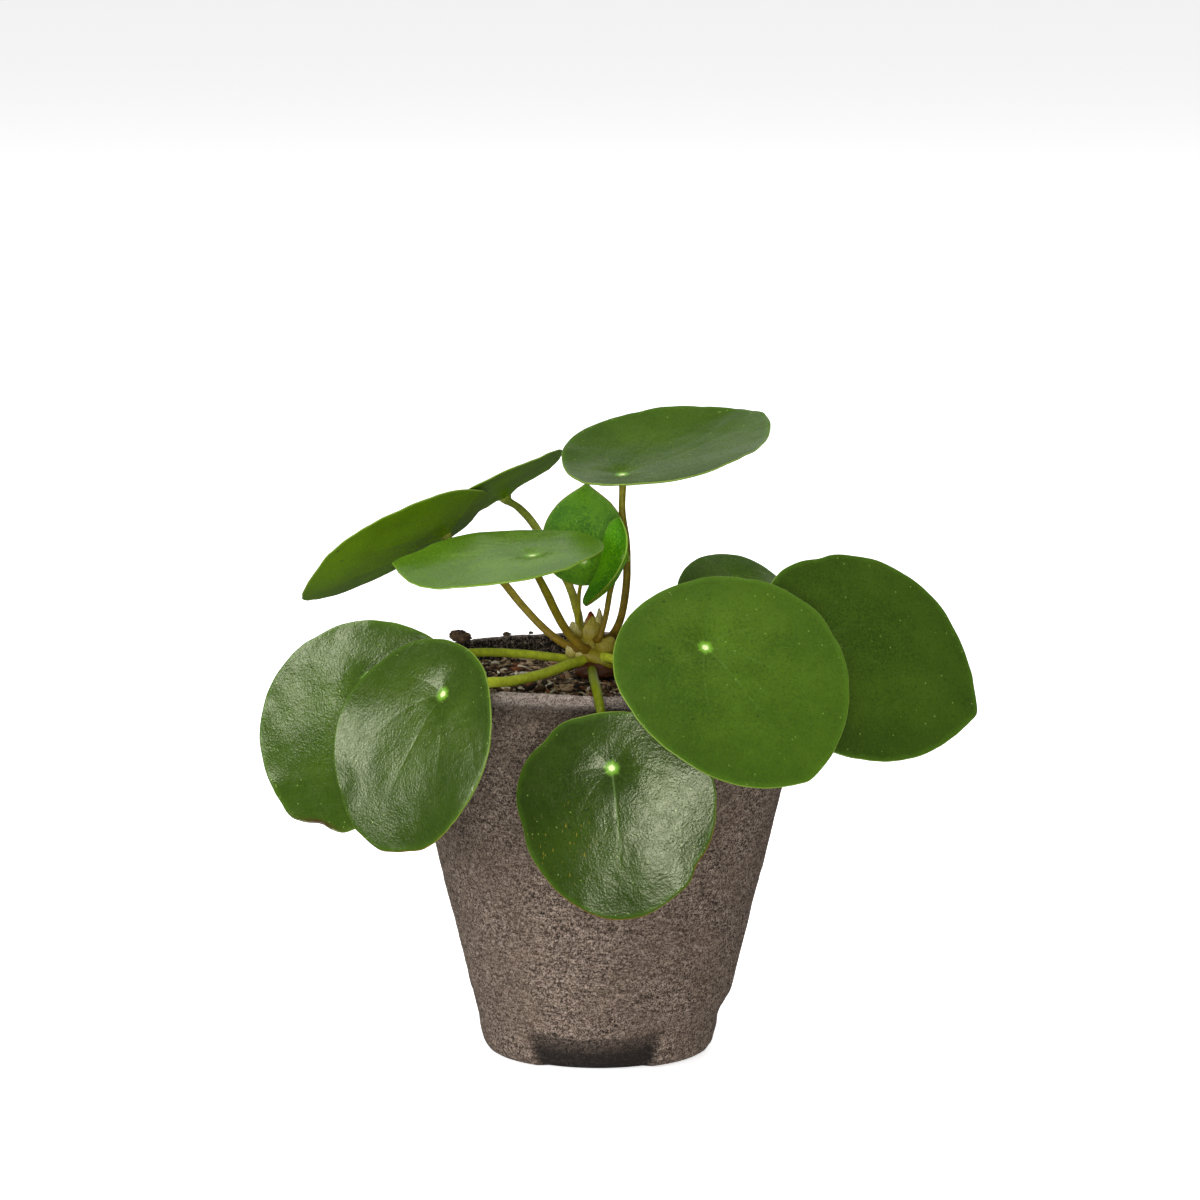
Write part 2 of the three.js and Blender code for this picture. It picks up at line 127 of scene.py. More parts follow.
LEAVES = {
    "leaf_01_top": Leaf(
        at=(5.7, 12, 162.3), facing=(-19.1, 79.1, 134.2), length=58.6, width=61.9, behind=0.247,
        tip=1.3, egg=0.134, curl=(3.8, 5.2, 0.5),
        radius=1.1, tones=("brown", "olive"), path=[
            (2.6, 4.8, 116.6), (4.7, 6.5, 119.8), (6, 8, 124), (7.1, 10, 133), (6.9, 11.5, 142),
            (5.8, 12.5, 151),
        ],
    ),
    "leaf_02_back_left": Leaf(
        at=(-28.8, 65, 150), facing=(-111.5, 59, 89), length=54.7, width=52, behind=0.267, tip=2.2,
        egg=0, curl=(1, 1.4, -0.8),
        shade=0.85, radius=1.2, tones=("olive", "pale"), neck=0.4, path=[
            (-5.6, 5, 118.8), (-6.8, 11, 122.8), (-9.4, 22, 129.3), (-14.1, 34, 135.5),
            (-19.8, 48, 143.2), (-24.2, 57, 146.7),
        ],
    ),
    "leaf_03_upper_left": Leaf(
        at=(-45.2, 32, 142.9), facing=(-117, 49, 41.5), length=60.5, width=59.8, behind=0.274, tip=0,
        egg=-0.18, curl=(3.5, 4.9, -1),
        shade=0.82, radius=1.1, tones=("brown", "olive"), path=[
            (-7.8, 1.8, 113.7), (-13.1, 4, 116.5), (-17.4, 8.5, 119.5), (-23.1, 15, 124.8),
            (-30.2, 23, 131.8),
        ],
    ),
    "leaf_04_middle_left": Leaf(
        at=(-19.1, -21, 143.8), facing=(-38.5, 80.5, -66), length=56.5, width=54, behind=0.35, tip=4.4,
        egg=-0.02, curl=(-0.7, -1.1, -1.2),
        # shade 0.52 paints this blade lighter, in place of the pale sheen it catches
        shade=0.52, radius=1.2, tones=("brown", "olive"),
        path=[(-5, -5.5, 114.8), (-8.8, -7.5, 118.8), (-11.6, -10, 123.6), (-14.7, -14, 130.6)],
    ),
    "leaf_05_young_upright": Leaf(
        at=(-5.2, 10.5, 137.4), facing=(-19, 11.5, 178), length=26.3, width=25.8, behind=0.27, tip=2.8,
        egg=0.09, curl=(1.2, -0.3, 0), ripple=0.1,
        pucker=0.4, rust=[(0, 180)], radius=0.6, tones=("olive", "olive"),
        path=[(-6.3, 1.6, 119.4), (-6.4, 5, 124), (-6.2, 11, 129)],
    ),
    "leaf_06_young_folded": Leaf(
        at=(6.3, -5.5, 140.4), facing=(-75.5, 15, 14.5), length=25.7, width=26, behind=0.415, tip=1,
        egg=0.03, curl=(5.4, -1.4, -0.3), ripple=0.1, fold=0.4,
        shade=0.55, pucker=0.4, rust=[(0, 50)], radius=0.8, tones=("brown", "olive"), neck=0.3, path=[
            (-0.8, -5.3, 117.6), (0.5, -5, 121.4), (1.5, -4.2, 125.6), (2.4, -3, 130.5),
            (4, -1.7, 135.3), (6, -2, 138.4),
        ],
    ),
    "leaf_07_right_front": Leaf(
        at=(27.9, -62, 124.2), facing=(17, 42, 26.5), length=65, width=65.5, behind=0.315, tip=2.2,
        egg=0.045, curl=(-2.2, 2.1, -0.4), ripple=0.4,
        edge=[(99, 0.6, 9), (136, -0.6, 8), (-100, -0.5, 10)],
        shade=0.83, radius=1.3, tones=("lime", "green"),
        path=[(0.1, -4.6, 112.3), (7, -18, 112.6), (16, -36, 112.8), (24, -50.5, 114.6)],
    ),
    "leaf_08_far_right": Leaf(
        at=(59.1, -35, 122.6), facing=(19.5, 29.5, 60.5), length=64.5, width=60, behind=0.29, tip=4.2,
        egg=0.03, curl=(-1.1, -0.9, -0.9), ripple=0.5,
        edge=[(100, 0.4, 8), (132, -0.9, 7), (155, 0.5, 7)],
        shade=1.2, radius=1.3, tones=("green", "green"),
        path=[(2.6, -2, 113.6), (18, -8, 113.8), (38, -15.5, 113.4), (53, -22.5, 115.2)],
    ),
    "leaf_09_back_right": Leaf(
        at=(39.5, 37, 128.6), facing=(36, 63, -22.5), length=43.8, width=39.7, behind=0.285, tip=1.8,
        egg=-0.07, curl=(0.6, -2.3, 0.6),
        shade=0.85, radius=1.1, tones=("green", "green"),
        path=[(2.4, 2.4, 112.8), (14, 13, 114.2), (28, 29, 117), (37.3, 40, 122.4)],
    ),
    "leaf_10_left_outer": Leaf(
        at=(-64.3, -33.6, 110.8), facing=(-28.5, 21.5, 4.5), length=59.8, width=64.6, behind=0.272,
        tip=0.3, egg=0.1, curl=(3.1, -0.6, 1), ripple=0.4, fold=-0.02,
        edge=[(-32, 0.6, 7), (-11, -1.4, 7), (5, 0.7, 6), (-152, -0.5, 8)],
        shade=1.15, scorch=[(-12, 16)], radius=1.2, tones=("lime", "lime"), path=[
            (-7.9, 0.1, 110.6), (-20, -4, 112.9), (-34, -10.5, 114.5), (-50, -20.5, 114),
            (-58.7, -27.6, 112.1),
        ],
    ),
    "leaf_11_left_inner": Leaf(
        at=(-42.9, -64.6, 111.8), facing=(-45, 24.5, -19.7), length=58.3, width=56.7, behind=0.236,
        tip=0.6, egg=0.065, curl=(-2.6, 0.9, -3.8), ripple=0.4,
        edge=[(-15, 0.5, 6), (8, 0.5, 6), (30, -0.5, 8)],
        shade=1.32, rust=[(25, 30)], radius=1.4, tones=("lime", "lime"), path=[
            (-5.4, -4.8, 111.2), (-16.9, -28, 111), (-24.9, -43, 111.6), (-31.5, -55, 112.9),
            (-37.2, -61, 111.6),
        ],
    ),
    "leaf_12_front": Leaf(
        at=(2.5, -77, 93.7), facing=(-9, 9.5, 6.5), length=55.3, width=53.3, behind=0.27, tip=0.1,
        egg=0.14, curl=(-1.7, -2.7, -0.9), ripple=0.4, fold=-0.02,
        edge=[(-156, 0.6, 8), (-141, -0.7, 8), (-88, -0.8, 10), (45, 0.5, 6), (58, -0.7, 7)],
        # shade 1.75 is partly painted shade, where the leaves above shade this blade
        shade=1.75, midrib=0.32, rust=[(-20, 45), (60, 20)], scratched=(19, -17, 9), radius=1.3,
        tones=("green", "green"), path=[
            (-2.7, -5.5, 108.7), (-2.4, -25, 110.6), (-2, -46, 112.1), (-1.5, -58, 112.2),
            (-0.7, -65.5, 109.6), (0.4, -69.5, 104.5), (1.8, -71.3, 98.5),
        ],
    ),
}

CAMERA = SimpleNamespace(place=(-0.452, -1400, 328.14), aim=(-0.452, 0, 127.7), lens=151.92, sensor=36)


# ---------- helpers ----------

CURVE_STEPS = 24  # between two of the points that a curve is drawn through


def rgb(red, green, blue):
    """A colour in 0 to 255 steps as linear RGBA."""
    parts = [c / 255 for c in (red, green, blue)]
    linear = [c / 12.92 if c <= 0.04045 else ((c + 0.055) / 1.055) ** 2.4 for c in parts]
    return (*linear, 1.0)


def lattice(x, y, z, seed):
    """A repeatable value from 0 to 1 for whole numbers."""
    wild = np.sin(x * 127.1 + y * 311.7 + z * 74.7 + seed * 53.3) * 43758.5453
    return wild - np.floor(wild)


def noise(points, size, seed=0):
    """Smooth noise from -1 to 1 at each point, with bumps about size across."""
    place = np.asarray(points, float) / size
    cell = np.floor(place)
    share = place - cell
    share = share * share * (3 - 2 * share)
    total = np.zeros(len(place))
    for corner in np.ndindex(2, 2, 2):
        weight = np.prod(np.where(corner, share, 1 - share), axis=1)
        total += weight * lattice(*(cell + corner).T, seed)
    return 2 * total - 1


def layered(points, *layers):
    """The sum of smooth noises, each with its height, size and seed."""
    return sum(height * noise(points, size, seed) for height, size, seed in layers)


def smooth(low, high, value):
    """Goes from 0 to 1 as value goes from low to high."""
    share = np.clip((value - low) / (high - low), 0, 1)
    return share * share * (3 - 2 * share)


def bell(value, width):
    """1 where value is 0, fading away on both sides."""
    return np.exp(-((value / width) ** 2))


def angles(count):
    return np.linspace(0, 2 * np.pi, count, endpoint=False)


def degrees_from(centre, around):
    """Degrees from the centre, for angles in radians."""
    return (np.degrees(around) - centre + 180) % 360 - 180


def run_lengths(line):
    return np.concatenate([[0], np.cumsum(np.linalg.norm(np.diff(line, axis=0), axis=1))])


def spaced(rows, lengths, count):
    """That many rows, evenly spaced on a run of rows with those lengths along it."""
    even = np.linspace(0, lengths[-1], count)
    return np.column_stack([np.interp(even, lengths, column) for column in rows.T])


def curve_through(points, count):
    """Evenly spaced points on a centripetal Catmull-Rom curve through the points."""
    knots = np.asarray(points, float)
    ends = (2 * knots[0] - knots[1], 2 * knots[-1] - knots[-2])
    padded = np.vstack([ends[0], knots, ends[1]])
    share = np.linspace(0, 1, CURVE_STEPS, endpoint=False)[:, None]
    parts = []
    for p0, p1, p2, p3 in zip(padded, padded[1:], padded[2:], padded[3:]):
        steps = (p1 - p0, p2 - p1, p3 - p2)
        d0, d1, d2 = (np.linalg.norm(step) ** 0.5 for step in steps)
        start = ((p1 - p0) / d0 - (p2 - p0) / (d0 + d1) + (p2 - p1) / d1) * d1
        stop = ((p2 - p1) / d1 - (p3 - p1) / (d1 + d2) + (p3 - p2) / d2) * d1
        cubic = 2 * p1 - 2 * p2 + start + stop
        square = -3 * p1 + 3 * p2 - 2 * start - stop
        parts.append(p1 + share * start + share**2 * square + share**3 * cubic)
    line = np.vstack([*parts, knots[-1:]])
    return spaced(line, run_lengths(line), count)


def turned(rows, sides):
    """Each column of a turned body's rows, repeated round it, and the angles round it."""
    shape = (len(rows), sides)
    return *(np.broadcast_to(column[:, None], shape) for column in rows.T), angles(sides)


def round_points(radius, around, z):
    return np.stack([radius * np.cos(around), radius * np.sin(around), z], axis=-1)


def with_poles(rings):
    """Rows for a pole, for each ring's points in turn, and for a pole at the other end."""
    rings = np.asarray(rings, float)
    middles = rings[[0, -1]].mean(axis=1)
    return np.vstack([middles[:1], rings.reshape(-1, rings.shape[-1]), middles[1:]])


def ring_faces(rings, sides):
    """Faces of a closed body of that many rings between two poles, ring after ring."""
    ring, side = np.meshgrid(np.arange(rings - 1), np.arange(sides), indexing="ij")
    here = 1 + ring * sides + side
    beside = 1 + ring * sides + (side + 1) % sides
    quads = np.stack([here, beside, beside + sides, here + sides], axis=-1).reshape(-1, 4)
    around = np.arange(sides)
    ahead = (around + 1) % sides
    last = 1 + (rings - 1) * sides
    start = np.column_stack([np.zeros(sides, int), 1 + ahead, 1 + around])
    stop = np.column_stack([last + around, last + ahead, np.full(sides, last + sides)])
    return [*start.tolist(), *quads.tolist(), *stop.tolist()]


def joined(parts):
    """Points and faces of many small closed bodies as one mesh."""
    points, faces, first = [], [], 0
    for part_points, part_faces in parts:
        points.append(part_points)
        faces += [[first + corner for corner in face] for face in part_faces]
        first += len(part_points)
    return np.vstack(points), faces


def placed(name, data):
    made = bpy.data.objects.new(name, data)
    bpy.context.scene.collection.objects.link(made)
    return made


def piece(name, points, faces, materials, slot, skins=None, tone=None, **vectors):
    """A smooth-shaded mesh from points in millimetres, riding on the plant's one body.

    skins is each face's material, and tone and vectors are kept for each point.
    """
    mesh = bpy.data.meshes.new(name)
    mesh.from_pydata((np.asarray(points) * MM).tolist(), [], faces)
    for key, values in vectors.items():
        layer = mesh.attributes.new(key, "FLOAT_VECTOR", "POINT")
        layer.data.foreach_set("vector", np.asarray(values, np.float32).ravel())
    if tone is not None:
        layer = mesh.attributes.new("tone", "FLOAT_COLOR", "POINT")
        layer.data.foreach_set("color", np.asarray(tone, np.float32).ravel())
    for material in materials:
        mesh.materials.append(material)
    if skins is not None:
        mesh.polygons.foreach_set("material_index", np.asarray(skins, np.int32))
    mesh.shade_smooth()
    mesh.update()
    made = placed(name, mesh)
    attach(made, "root")
    return made


class Graph:
    """Short words for a material's nodes."""

    def __init__(self, name):
        self.material = bpy.data.materials.new(name)
        self.material.use_nodes = True
        self.tree = self.material.node_tree
        self.tree.nodes.clear()

    def node(self, kind, inputs, **settings):
        """The outputs of a new node."""
        made = self.tree.nodes.new("ShaderNode" + kind)
        for key, value in settings.items():
            setattr(made, key, value)
        for key, value in inputs.items():
            if isinstance(value, bpy.types.NodeSocket):
                self.tree.links.new(value, made.inputs[key])
            else:
                made.inputs[key].default_value = value
        return made.outputs

    def math(self, operation, *values):
        return self.node("Math", dict(enumerate(values)), operation=operation)[0]

    def times(self, first, *others):
        for other in others:
            first = self.math("MULTIPLY", first, other)
        return first

    def plus(self, first, *others):
        for other in others:
            first = self.math("ADD", first, other)
        return first

    def minus(self, first, second):
        return self.math("SUBTRACT", first, second)

    def step(self, value, low, high, start=0.0, stop=1.0):
        """Goes smoothly from start to stop as value goes from low to high."""
        inputs = {"Value": value, "From Min": low, "From Max": high, "To Min": start, "To Max": stop}
        return self.node("MapRange", inputs, interpolation_type="SMOOTHSTEP")[0]

    def blend(self, share, first, second):
        return self.node("Mix", {"Factor": share, 6: first, 7: second}, data_type="RGBA")[2]

    def paint(self, colour, *coats):
        """The colour under coats of other colours, each with the share that it covers."""
        for share, coat in coats:
            colour = self.blend(share, colour, coat)
        return colour

    def shaded(self, colour, value, saturation=1.0):
        inputs = {"Color": colour, "Value": value, "Saturation": saturation}
        return self.node("HueSaturation", inputs)[0]

    def noise(self, place, scale, detail=2.0, roughness=0.5, distortion=0.0):
        inputs = {
            "Vector": place, "Scale": scale, "Detail": detail, "Roughness": roughness,
            "Distortion": distortion,
        }
        return self.node("TexNoise", inputs)["Fac"]

    def cells(self, place, scale):
        return self.node("TexVoronoi", {"Vector": place, "Scale": scale})

    def chosen(self, cells, channel, rarity):
        """1 in some cells picked at random, and 0 in a share of rarity of them."""
        picks = self.node("SeparateColor", {"Color": cells["Color"]})
        return self.math("GREATER_THAN", picks[channel], rarity)

    def stretch(self, place, scale, turn=(0, 0, 0)):
        return self.node("Mapping", {"Vector": place, "Scale": scale, "Rotation": turn})[0]

    def millimetres(self):
        """Coordinates fixed to the piece, in millimetres."""
        return self.stretch(self.node("TexCoord", {})["Object"], (1 / MM,) * 3)

    def vector(self, x, y, z):
        return self.node("CombineXYZ", {0: x, 1: y, 2: z})[0]

    def parts(self, name):
        """The three numbers of a vector kept for each point."""
        kept = self.node("Attribute", {}, attribute_name=name)["Vector"]
        return self.node("SeparateXYZ", {"Vector": kept})

    def tone(self):
        """The colour kept for each point."""
        return self.node("Attribute", {}, attribute_name="tone")["Color"]

    def bump(self, height, depth):
        """Raises the surface by height times depth, in millimetres."""
        return self.node("Bump", {"Height": height, "Distance": depth * MM, "Strength": 1.0})[0]

    def surface(self, **inputs):
        return self.node("BsdfPrincipled", {k.replace("_", " "): v for k, v in inputs.items()})[0]

    def see_through(self, share, body, **inputs):
        """Lets that share of the light through the body."""
        through = self.node("BsdfTranslucent", inputs)[0]
        return self.node("MixShader", {0: share, 1: body, 2: through})[0]

    def finish(self, shader):
        self.node("OutputMaterial", {"Surface": shader})
        return self.material


# ---------- materials ----------

VEINS = [(50, 0.012), (98, 0.02), (146, 0.012)]  # degrees from the tip, and curl per millimetre
MIDRIB = SimpleNamespace(sway=0.5, turn=0.12)  # of the midrib from side to side
CORE = 1.15  # reach of the navel's cream core
STAR = 2.6  # reach of its lime star
LEAF_GLOW = 0.16  # share of the light that a blade lets through
STALK_GLOW = 0.2
PAPER_GLOW = 0.3
RELIEF = SimpleNamespace(leaf=0.08, stalk=0.05, paper=0.12, fibre=1.5, soil=0.5)  # millimetres
SHEEN_TINT = (0.97, 1, 0.72, 1)
PALE_VEIN = rgb(120, 150, 80)
PALE_SPECK = rgb(150, 180, 90)
DARK_PIT = rgb(26, 46, 14)
SCRATCH = rgb(170, 150, 50)
LEAF_EDGE = rgb(96, 140, 36)
PALE_RIM_AND_GLINT = rgb(140, 164, 66)
RUST = rgb(150, 62, 30)
SCORCH = rgb(62, 34, 16)
LIME = rgb(122, 178, 50)
CREAM = rgb(240, 244, 184)
STALK_DOT = rgb(190, 190, 110)
FIBRE_LIP_HIGHLIGHT = rgb(206, 190, 180)
FIBRE_PALE = rgb(206, 184, 166)
FIBRE_MID = rgb(124, 104, 90)
FIBRE_DARK = rgb(36, 27, 22)
FIBRE_WARM = rgb(122, 102, 84)
FIBRE_FLECK_AND_SHADE = rgb(20, 13, 9)
FIBRE_INSIDE_SHADE = rgb(26, 20, 16)
EARTH_DARK = rgb(42, 31, 21)
EARTH_MID = rgb(118, 92, 64)
EARTH_PALE = rgb(160, 128, 92)


def blade_material(name, deep, fresh, shine, glow, underside=False):
    """Leaf tissue: mottled green, veins and navel from the blade's own plane."""
    g = Graph(name)
    place = g.millimetres()
    u, v, share = g.parts("plane")
    rust, scorch, scratched = g.parts("marks")
    seed, shade, midrib = g.parts("kind")
    flat = g.vector(u, v, seed)
    reach = g.math("SQRT", g.plus(g.times(u, u), g.times(v, v)))
    angle = g.math("ARCTAN2", g.math("ABSOLUTE", v), u)
    inward = g.minus(g.math("DIVIDE", reach, g.math("MAXIMUM", share, 0.01)), reach)

    # midrib, and pairs of veins that arch from the stalk towards the tip
    bend = g.times(g.math("SINE", g.times(u, MIDRIB.turn)), MIDRIB.sway)
    off_midrib = g.math("ABSOLUTE", g.minus(v, bend))
    veins = g.times(g.step(off_midrib, 0.1, 0.4, 1, 0), g.step(u, 0.0, 2.0))
    line = g.times(veins, midrib, g.step(share, 0.2, 0.9, 1, 0))
    for start, curl in VEINS:
        course = g.minus(math.radians(start), g.times(reach, curl))
        off = g.math("ABSOLUTE", g.times(g.minus(angle, course), reach))
        veins = g.math("MAXIMUM", veins, g.step(off, 0.05, 0.45, 0.6, 0))
    broken = g.step(g.noise(flat, 0.35, 2), 0.35, 0.6)
    veins = g.times(veins, g.step(share, 0.3, 0.8, 1, 0), broken)

    patches = g.step(g.noise(place, 0.05, 3, 0.6), 0.3, 0.72)
    grain = g.noise(place, 1.5, 4, 0.65)
    colour = g.paint(
        deep,
        (patches, fresh),
        (g.step(grain, 0.5, 0.66, 0, 0.7), fresh),
        (g.step(grain, 0.5, 0.32, 0, 0.6), tuple(c * 0.5 for c in deep[:3]) + (1,)),
        (g.times(veins, 0.4 if underside else 0.14), PALE_VEIN),
        (g.step(share, 0.3, 1.0, 0, 0.5), deep),
    )
    # painted light and shade: each blade is lightened or darkened by its own shade
    colour = g.blend(line, g.shaded(colour, shade), PALE_VEIN)

    # pale specks, most of them near the margin, a few dark pits, and scratches
    speck = g.cells(flat, 0.55)
    chosen = g.chosen(speck, 0, g.step(inward, 1.0, 9.0, 0.45, 0.86))
    specks = g.times(g.step(speck["Distance"], 0.06, 0.14, 0.7, 0), chosen)
    pit = g.cells(flat, 0.17)
    pits = g.times(g.step(pit["Distance"], 0.04, 0.1, 0.6, 0), g.chosen(pit, 1, 0.7))
    dashes = g.step(g.noise(g.stretch(flat, (0.5, 1.5, 1), (0, 0, 0.6)), 0.9, 3, 0.6), 0.63, 0.69)

    # the margin is a thin pale line, partly its own pale edge and partly a painted highlight where the
    # rounded edge catches the light, rusty or scorched in places
    ragged = g.noise(place, 0.5, 2)
    rim = g.step(inward, 0.05, g.plus(g.times(ragged, 0.4), 0.1), 0.7, 0)
    band = g.step(inward, 0.2, g.plus(g.times(ragged, 3.0), 0.6), 1, 0)

    # the navel over the stalk: a cream core in a lime star, its own pale spot brightened into a painted
    # glow of light coming through the stalk's end
    spread = g.vector(g.math("DIVIDE", u, reach), g.math("DIVIDE", v, reach), seed)
    star = g.times(reach, g.step(g.noise(spread, 2.2, 3, 0.7), 0.3, 0.7, 1.2, 0.85))
    colour = g.paint(
        colour,
        (specks, PALE_SPECK),
        (pits, DARK_PIT),
        (g.times(dashes, scratched), SCRATCH),
        (g.times(band, 0.22), LEAF_EDGE),
        (rim, PALE_RIM_AND_GLINT),
        (g.times(rust, rim), RUST),
        (g.times(scorch, band), SCORCH),
        (g.step(star, STAR * 0.4, STAR, glow, 0), LIME),
        (g.step(star, CORE * 0.5, CORE, glow, 0), CREAM),
    )

    # puckered skin: fine wrinkles across the veins, pebbles, pits, and sunk veins
    polar = g.vector(g.times(reach, 1.5), g.times(angle, 9.0), seed)
    skin = g.plus(
        g.times(g.noise(polar, 0.8, 2, 0.45, 0.5), 0.35),
        g.noise(flat, 1.5, 2, 0.5, 0.4),
        g.times(g.noise(flat, 0.5, 2), 0.9),
        g.times(pits, -0.8),
        g.times(veins, 0.5 if underside else -0.35),
    )
    normal = g.bump(skin, RELIEF.leaf)
    roughness = g.step(g.noise(place, 0.4, 3), 0.3, 0.7, *shine)
    body = g.surface(
        Base_Color=colour, Roughness=roughness, Normal=normal, IOR=1.48, Specular_Tint=SHEEN_TINT,
    )
    through = g.shaded(colour, 2.6, 1.2)
    return g.finish(g.see_through(LEAF_GLOW, body, Color=through, Normal=normal))


def stalk_material():
    g = Graph("stalk_skin")
    place = g.millimetres()
    tone = g.tone()
    mottle = g.noise(place, 0.5, 4, 0.6)
    grain = g.noise(g.stretch(place, (1, 1, 0.6)), 3.2, 3, 0.6)
    light = g.shaded(tone, 1.35, 0.9)
    colour = g.paint(
        g.shaded(tone, 0.62),
        (g.step(mottle, 0.3, 0.7), tone),
        (g.step(grain, 0.5, 0.8, 0, 0.6), light),
        (g.step(g.cells(place, 0.5)["Distance"], 0.06, 0.12, 0.5, 0), STALK_DOT),
    )
    normal = g.bump(g.plus(grain, mottle), RELIEF.stalk)
    body = g.surface(Base_Color=colour, Roughness=0.45, Normal=normal, IOR=1.32)
    return g.finish(g.see_through(STALK_GLOW, body, Color=light))


def papery_material():
    """Dry stipules: thin, pale olive, a little see-through, with fine ribs."""
    g = Graph("stipule_paper")
    tone = g.tone()
    ribs = g.noise(g.stretch(g.millimetres(), (3.0, 3.0, 0.5)), 1.2, 3, 0.6)
    colour = g.blend(g.step(ribs, 0.3, 0.65), g.shaded(tone, 0.55), tone)
    body = g.surface(Base_Color=colour, Roughness=0.42, Normal=g.bump(ribs, RELIEF.paper))
    return g.finish(g.see_through(PAPER_GLOW, body, Color=colour))


def fibre_material():
    """Moulded plant fibre: a felt of pale and dark strands with open pits."""
    g = Graph("moulded_fibre")
    place = g.millimetres()
    inside, damp_and_shade, lip = g.parts("zone")
    felt = g.noise(place, 1.5, 3, 0.7, 1.4)
    rows = g.noise(g.stretch(place, (0.3, 0.3, 1.6)), 1.0, 3, 0.6, 0.6)
    strands = g.plus(g.times(felt, 0.8), g.times(rows, 0.2))
    patches = g.noise(place, 0.06, 3, 0.5)
    flecks = g.step(g.noise(g.stretch(place, (1, 1, 1.5)), 0.75, 3, 0.6), 0.66, 0.72, 0, 0.85)
    # painted shade: the inner wall is dark, with pale strands, as it lies in shadow
    inside_shade = g.blend(g.step(strands, 0.5, 0.6, 0, 0.8), FIBRE_INSIDE_SHADE, FIBRE_PALE)
    colour = g.paint(
        FIBRE_DARK,
        (g.step(strands, 0.43, 0.49), FIBRE_MID),
        (g.step(strands, 0.51, 0.57), FIBRE_PALE),
        (g.step(patches, 0.35, 0.65, 0, 0.3), FIBRE_WARM),
        (flecks, FIBRE_FLECK_AND_SHADE),
        # painted highlight: the top of the lip is lighter, where it catches the light
        (g.times(lip, g.step(strands, 0.42, 0.56, 0.15, 0.75)), FIBRE_LIP_HIGHLIGHT),
        # painted shade: the pockets and the groove under the lip take the flecks' dark colour
        (g.times(damp_and_shade, 0.92), FIBRE_FLECK_AND_SHADE),
        (inside, inside_shade),
    )
    normal = g.bump(g.minus(strands, g.times(flecks, 0.15)), RELIEF.fibre)
    return g.finish(g.surface(Base_Color=colour, Roughness=0.95, Normal=normal))


def soil_material(name, own_tone):
    """Rough potting mix, brown all over or with each bit's own tone."""
    g = Graph(name)
    place = g.millimetres()
    rough = g.noise(place, 0.9, 5, 0.7)
    grain = g.noise(place, 3.5, 3, 0.7)
    if own_tone:
        tone = g.tone()
        colour = g.blend(g.step(grain, 0.35, 0.6), g.shaded(tone, 0.5), tone)
    else:
        colour = g.blend(g.step(rough, 0.35, 0.65), EARTH_DARK, EARTH_MID)
        colour = g.blend(g.step(grain, 0.58, 0.72, 0, 0.5), colour, EARTH_PALE)
    normal = g.bump(g.plus(rough, g.times(grain, 0.4)), RELIEF.soil)
    return g.finish(g.surface(Base_Color=colour, Roughness=0.9, Normal=normal))


# ---------- leaves ----------

BLADE_SIDES = 192
BLADE_STEP = 0.85  # distance between the rings of a blade
MARGIN_WAVER = 0.12
JUNCTION = 0.9  # how far the blade swells round the end of its stalk
VEIN_SWELLING = 0.16  # of the veins on the underside
VEIN_SINK = 0.05


def blade_frame(leaf):
    """Unit vectors: out of the blade's upper face, towards its tip, and across it."""
    heading, tilt, spin = (math.radians(angle) for angle in leaf.facing)
    level = np.array([math.sin(heading), -math.cos(heading), 0.0]) * math.cos(tilt)
    face = level + [0, 0, math.sin(tilt)]
    down = np.array([0.0, 0.0, -1.0])
    fall = down - face * (down @ face)
    fall /= np.linalg.norm(fall)
    along = fall * math.cos(spin) + np.cross(face, fall) * math.sin(spin)
    return face, along, np.cross(face, along)


def margin(leaf, angle):
    """The blade's outline in its own plane, with the stalk at 0,0 and the tip along +u."""
    turn = (angle + math.pi) % (2 * math.pi) - math.pi
    point = leaf.tip * np.exp(-np.hypot(turn, TIP.roundness) / TIP.width)
    circle = np.column_stack([np.cos(angle), np.sin(angle), np.full(len(angle), leaf.at[0])])
    steps = np.zeros(len(angle))
    for centre, out, spread in leaf.edge:
        steps += out * bell(degrees_from(centre, angle), spread)
    steps += MARGIN_WAVER * noise(circle * leaf.length / 2, 3, 5)
    u = (leaf.length / 2 + steps) * np.cos(angle) + leaf.length * (0.5 - leaf.behind) + point
    v = (leaf.width / 2 + steps) * np.sin(angle) * (1 - leaf.egg * np.cos(angle))
    return u, v


def vein_depth(leaf, u, v):
    """1 on the midrib and the arching veins, and 0 a few millimetres away."""
    reach = np.hypot(u, v)
    angle = np.arctan2(np.abs(v), u)
    depth = np.where(u > 0, bell(v - MIDRIB.sway * np.sin(u * MIDRIB.turn), 0.8), 0)
    for start, curl in VEINS:
        off = (angle - (math.radians(start) - curl * reach)) * reach
        depth = np.maximum(depth, 0.7 * bell(off, 0.9))
    return depth * smooth(0.5, 4, reach) * (1 - smooth(0.55, 0.95, reach / (leaf.length * 0.6)))


def navel_depth(leaf):
    return 0 if leaf.fold > 0 else DIMPLE.depth


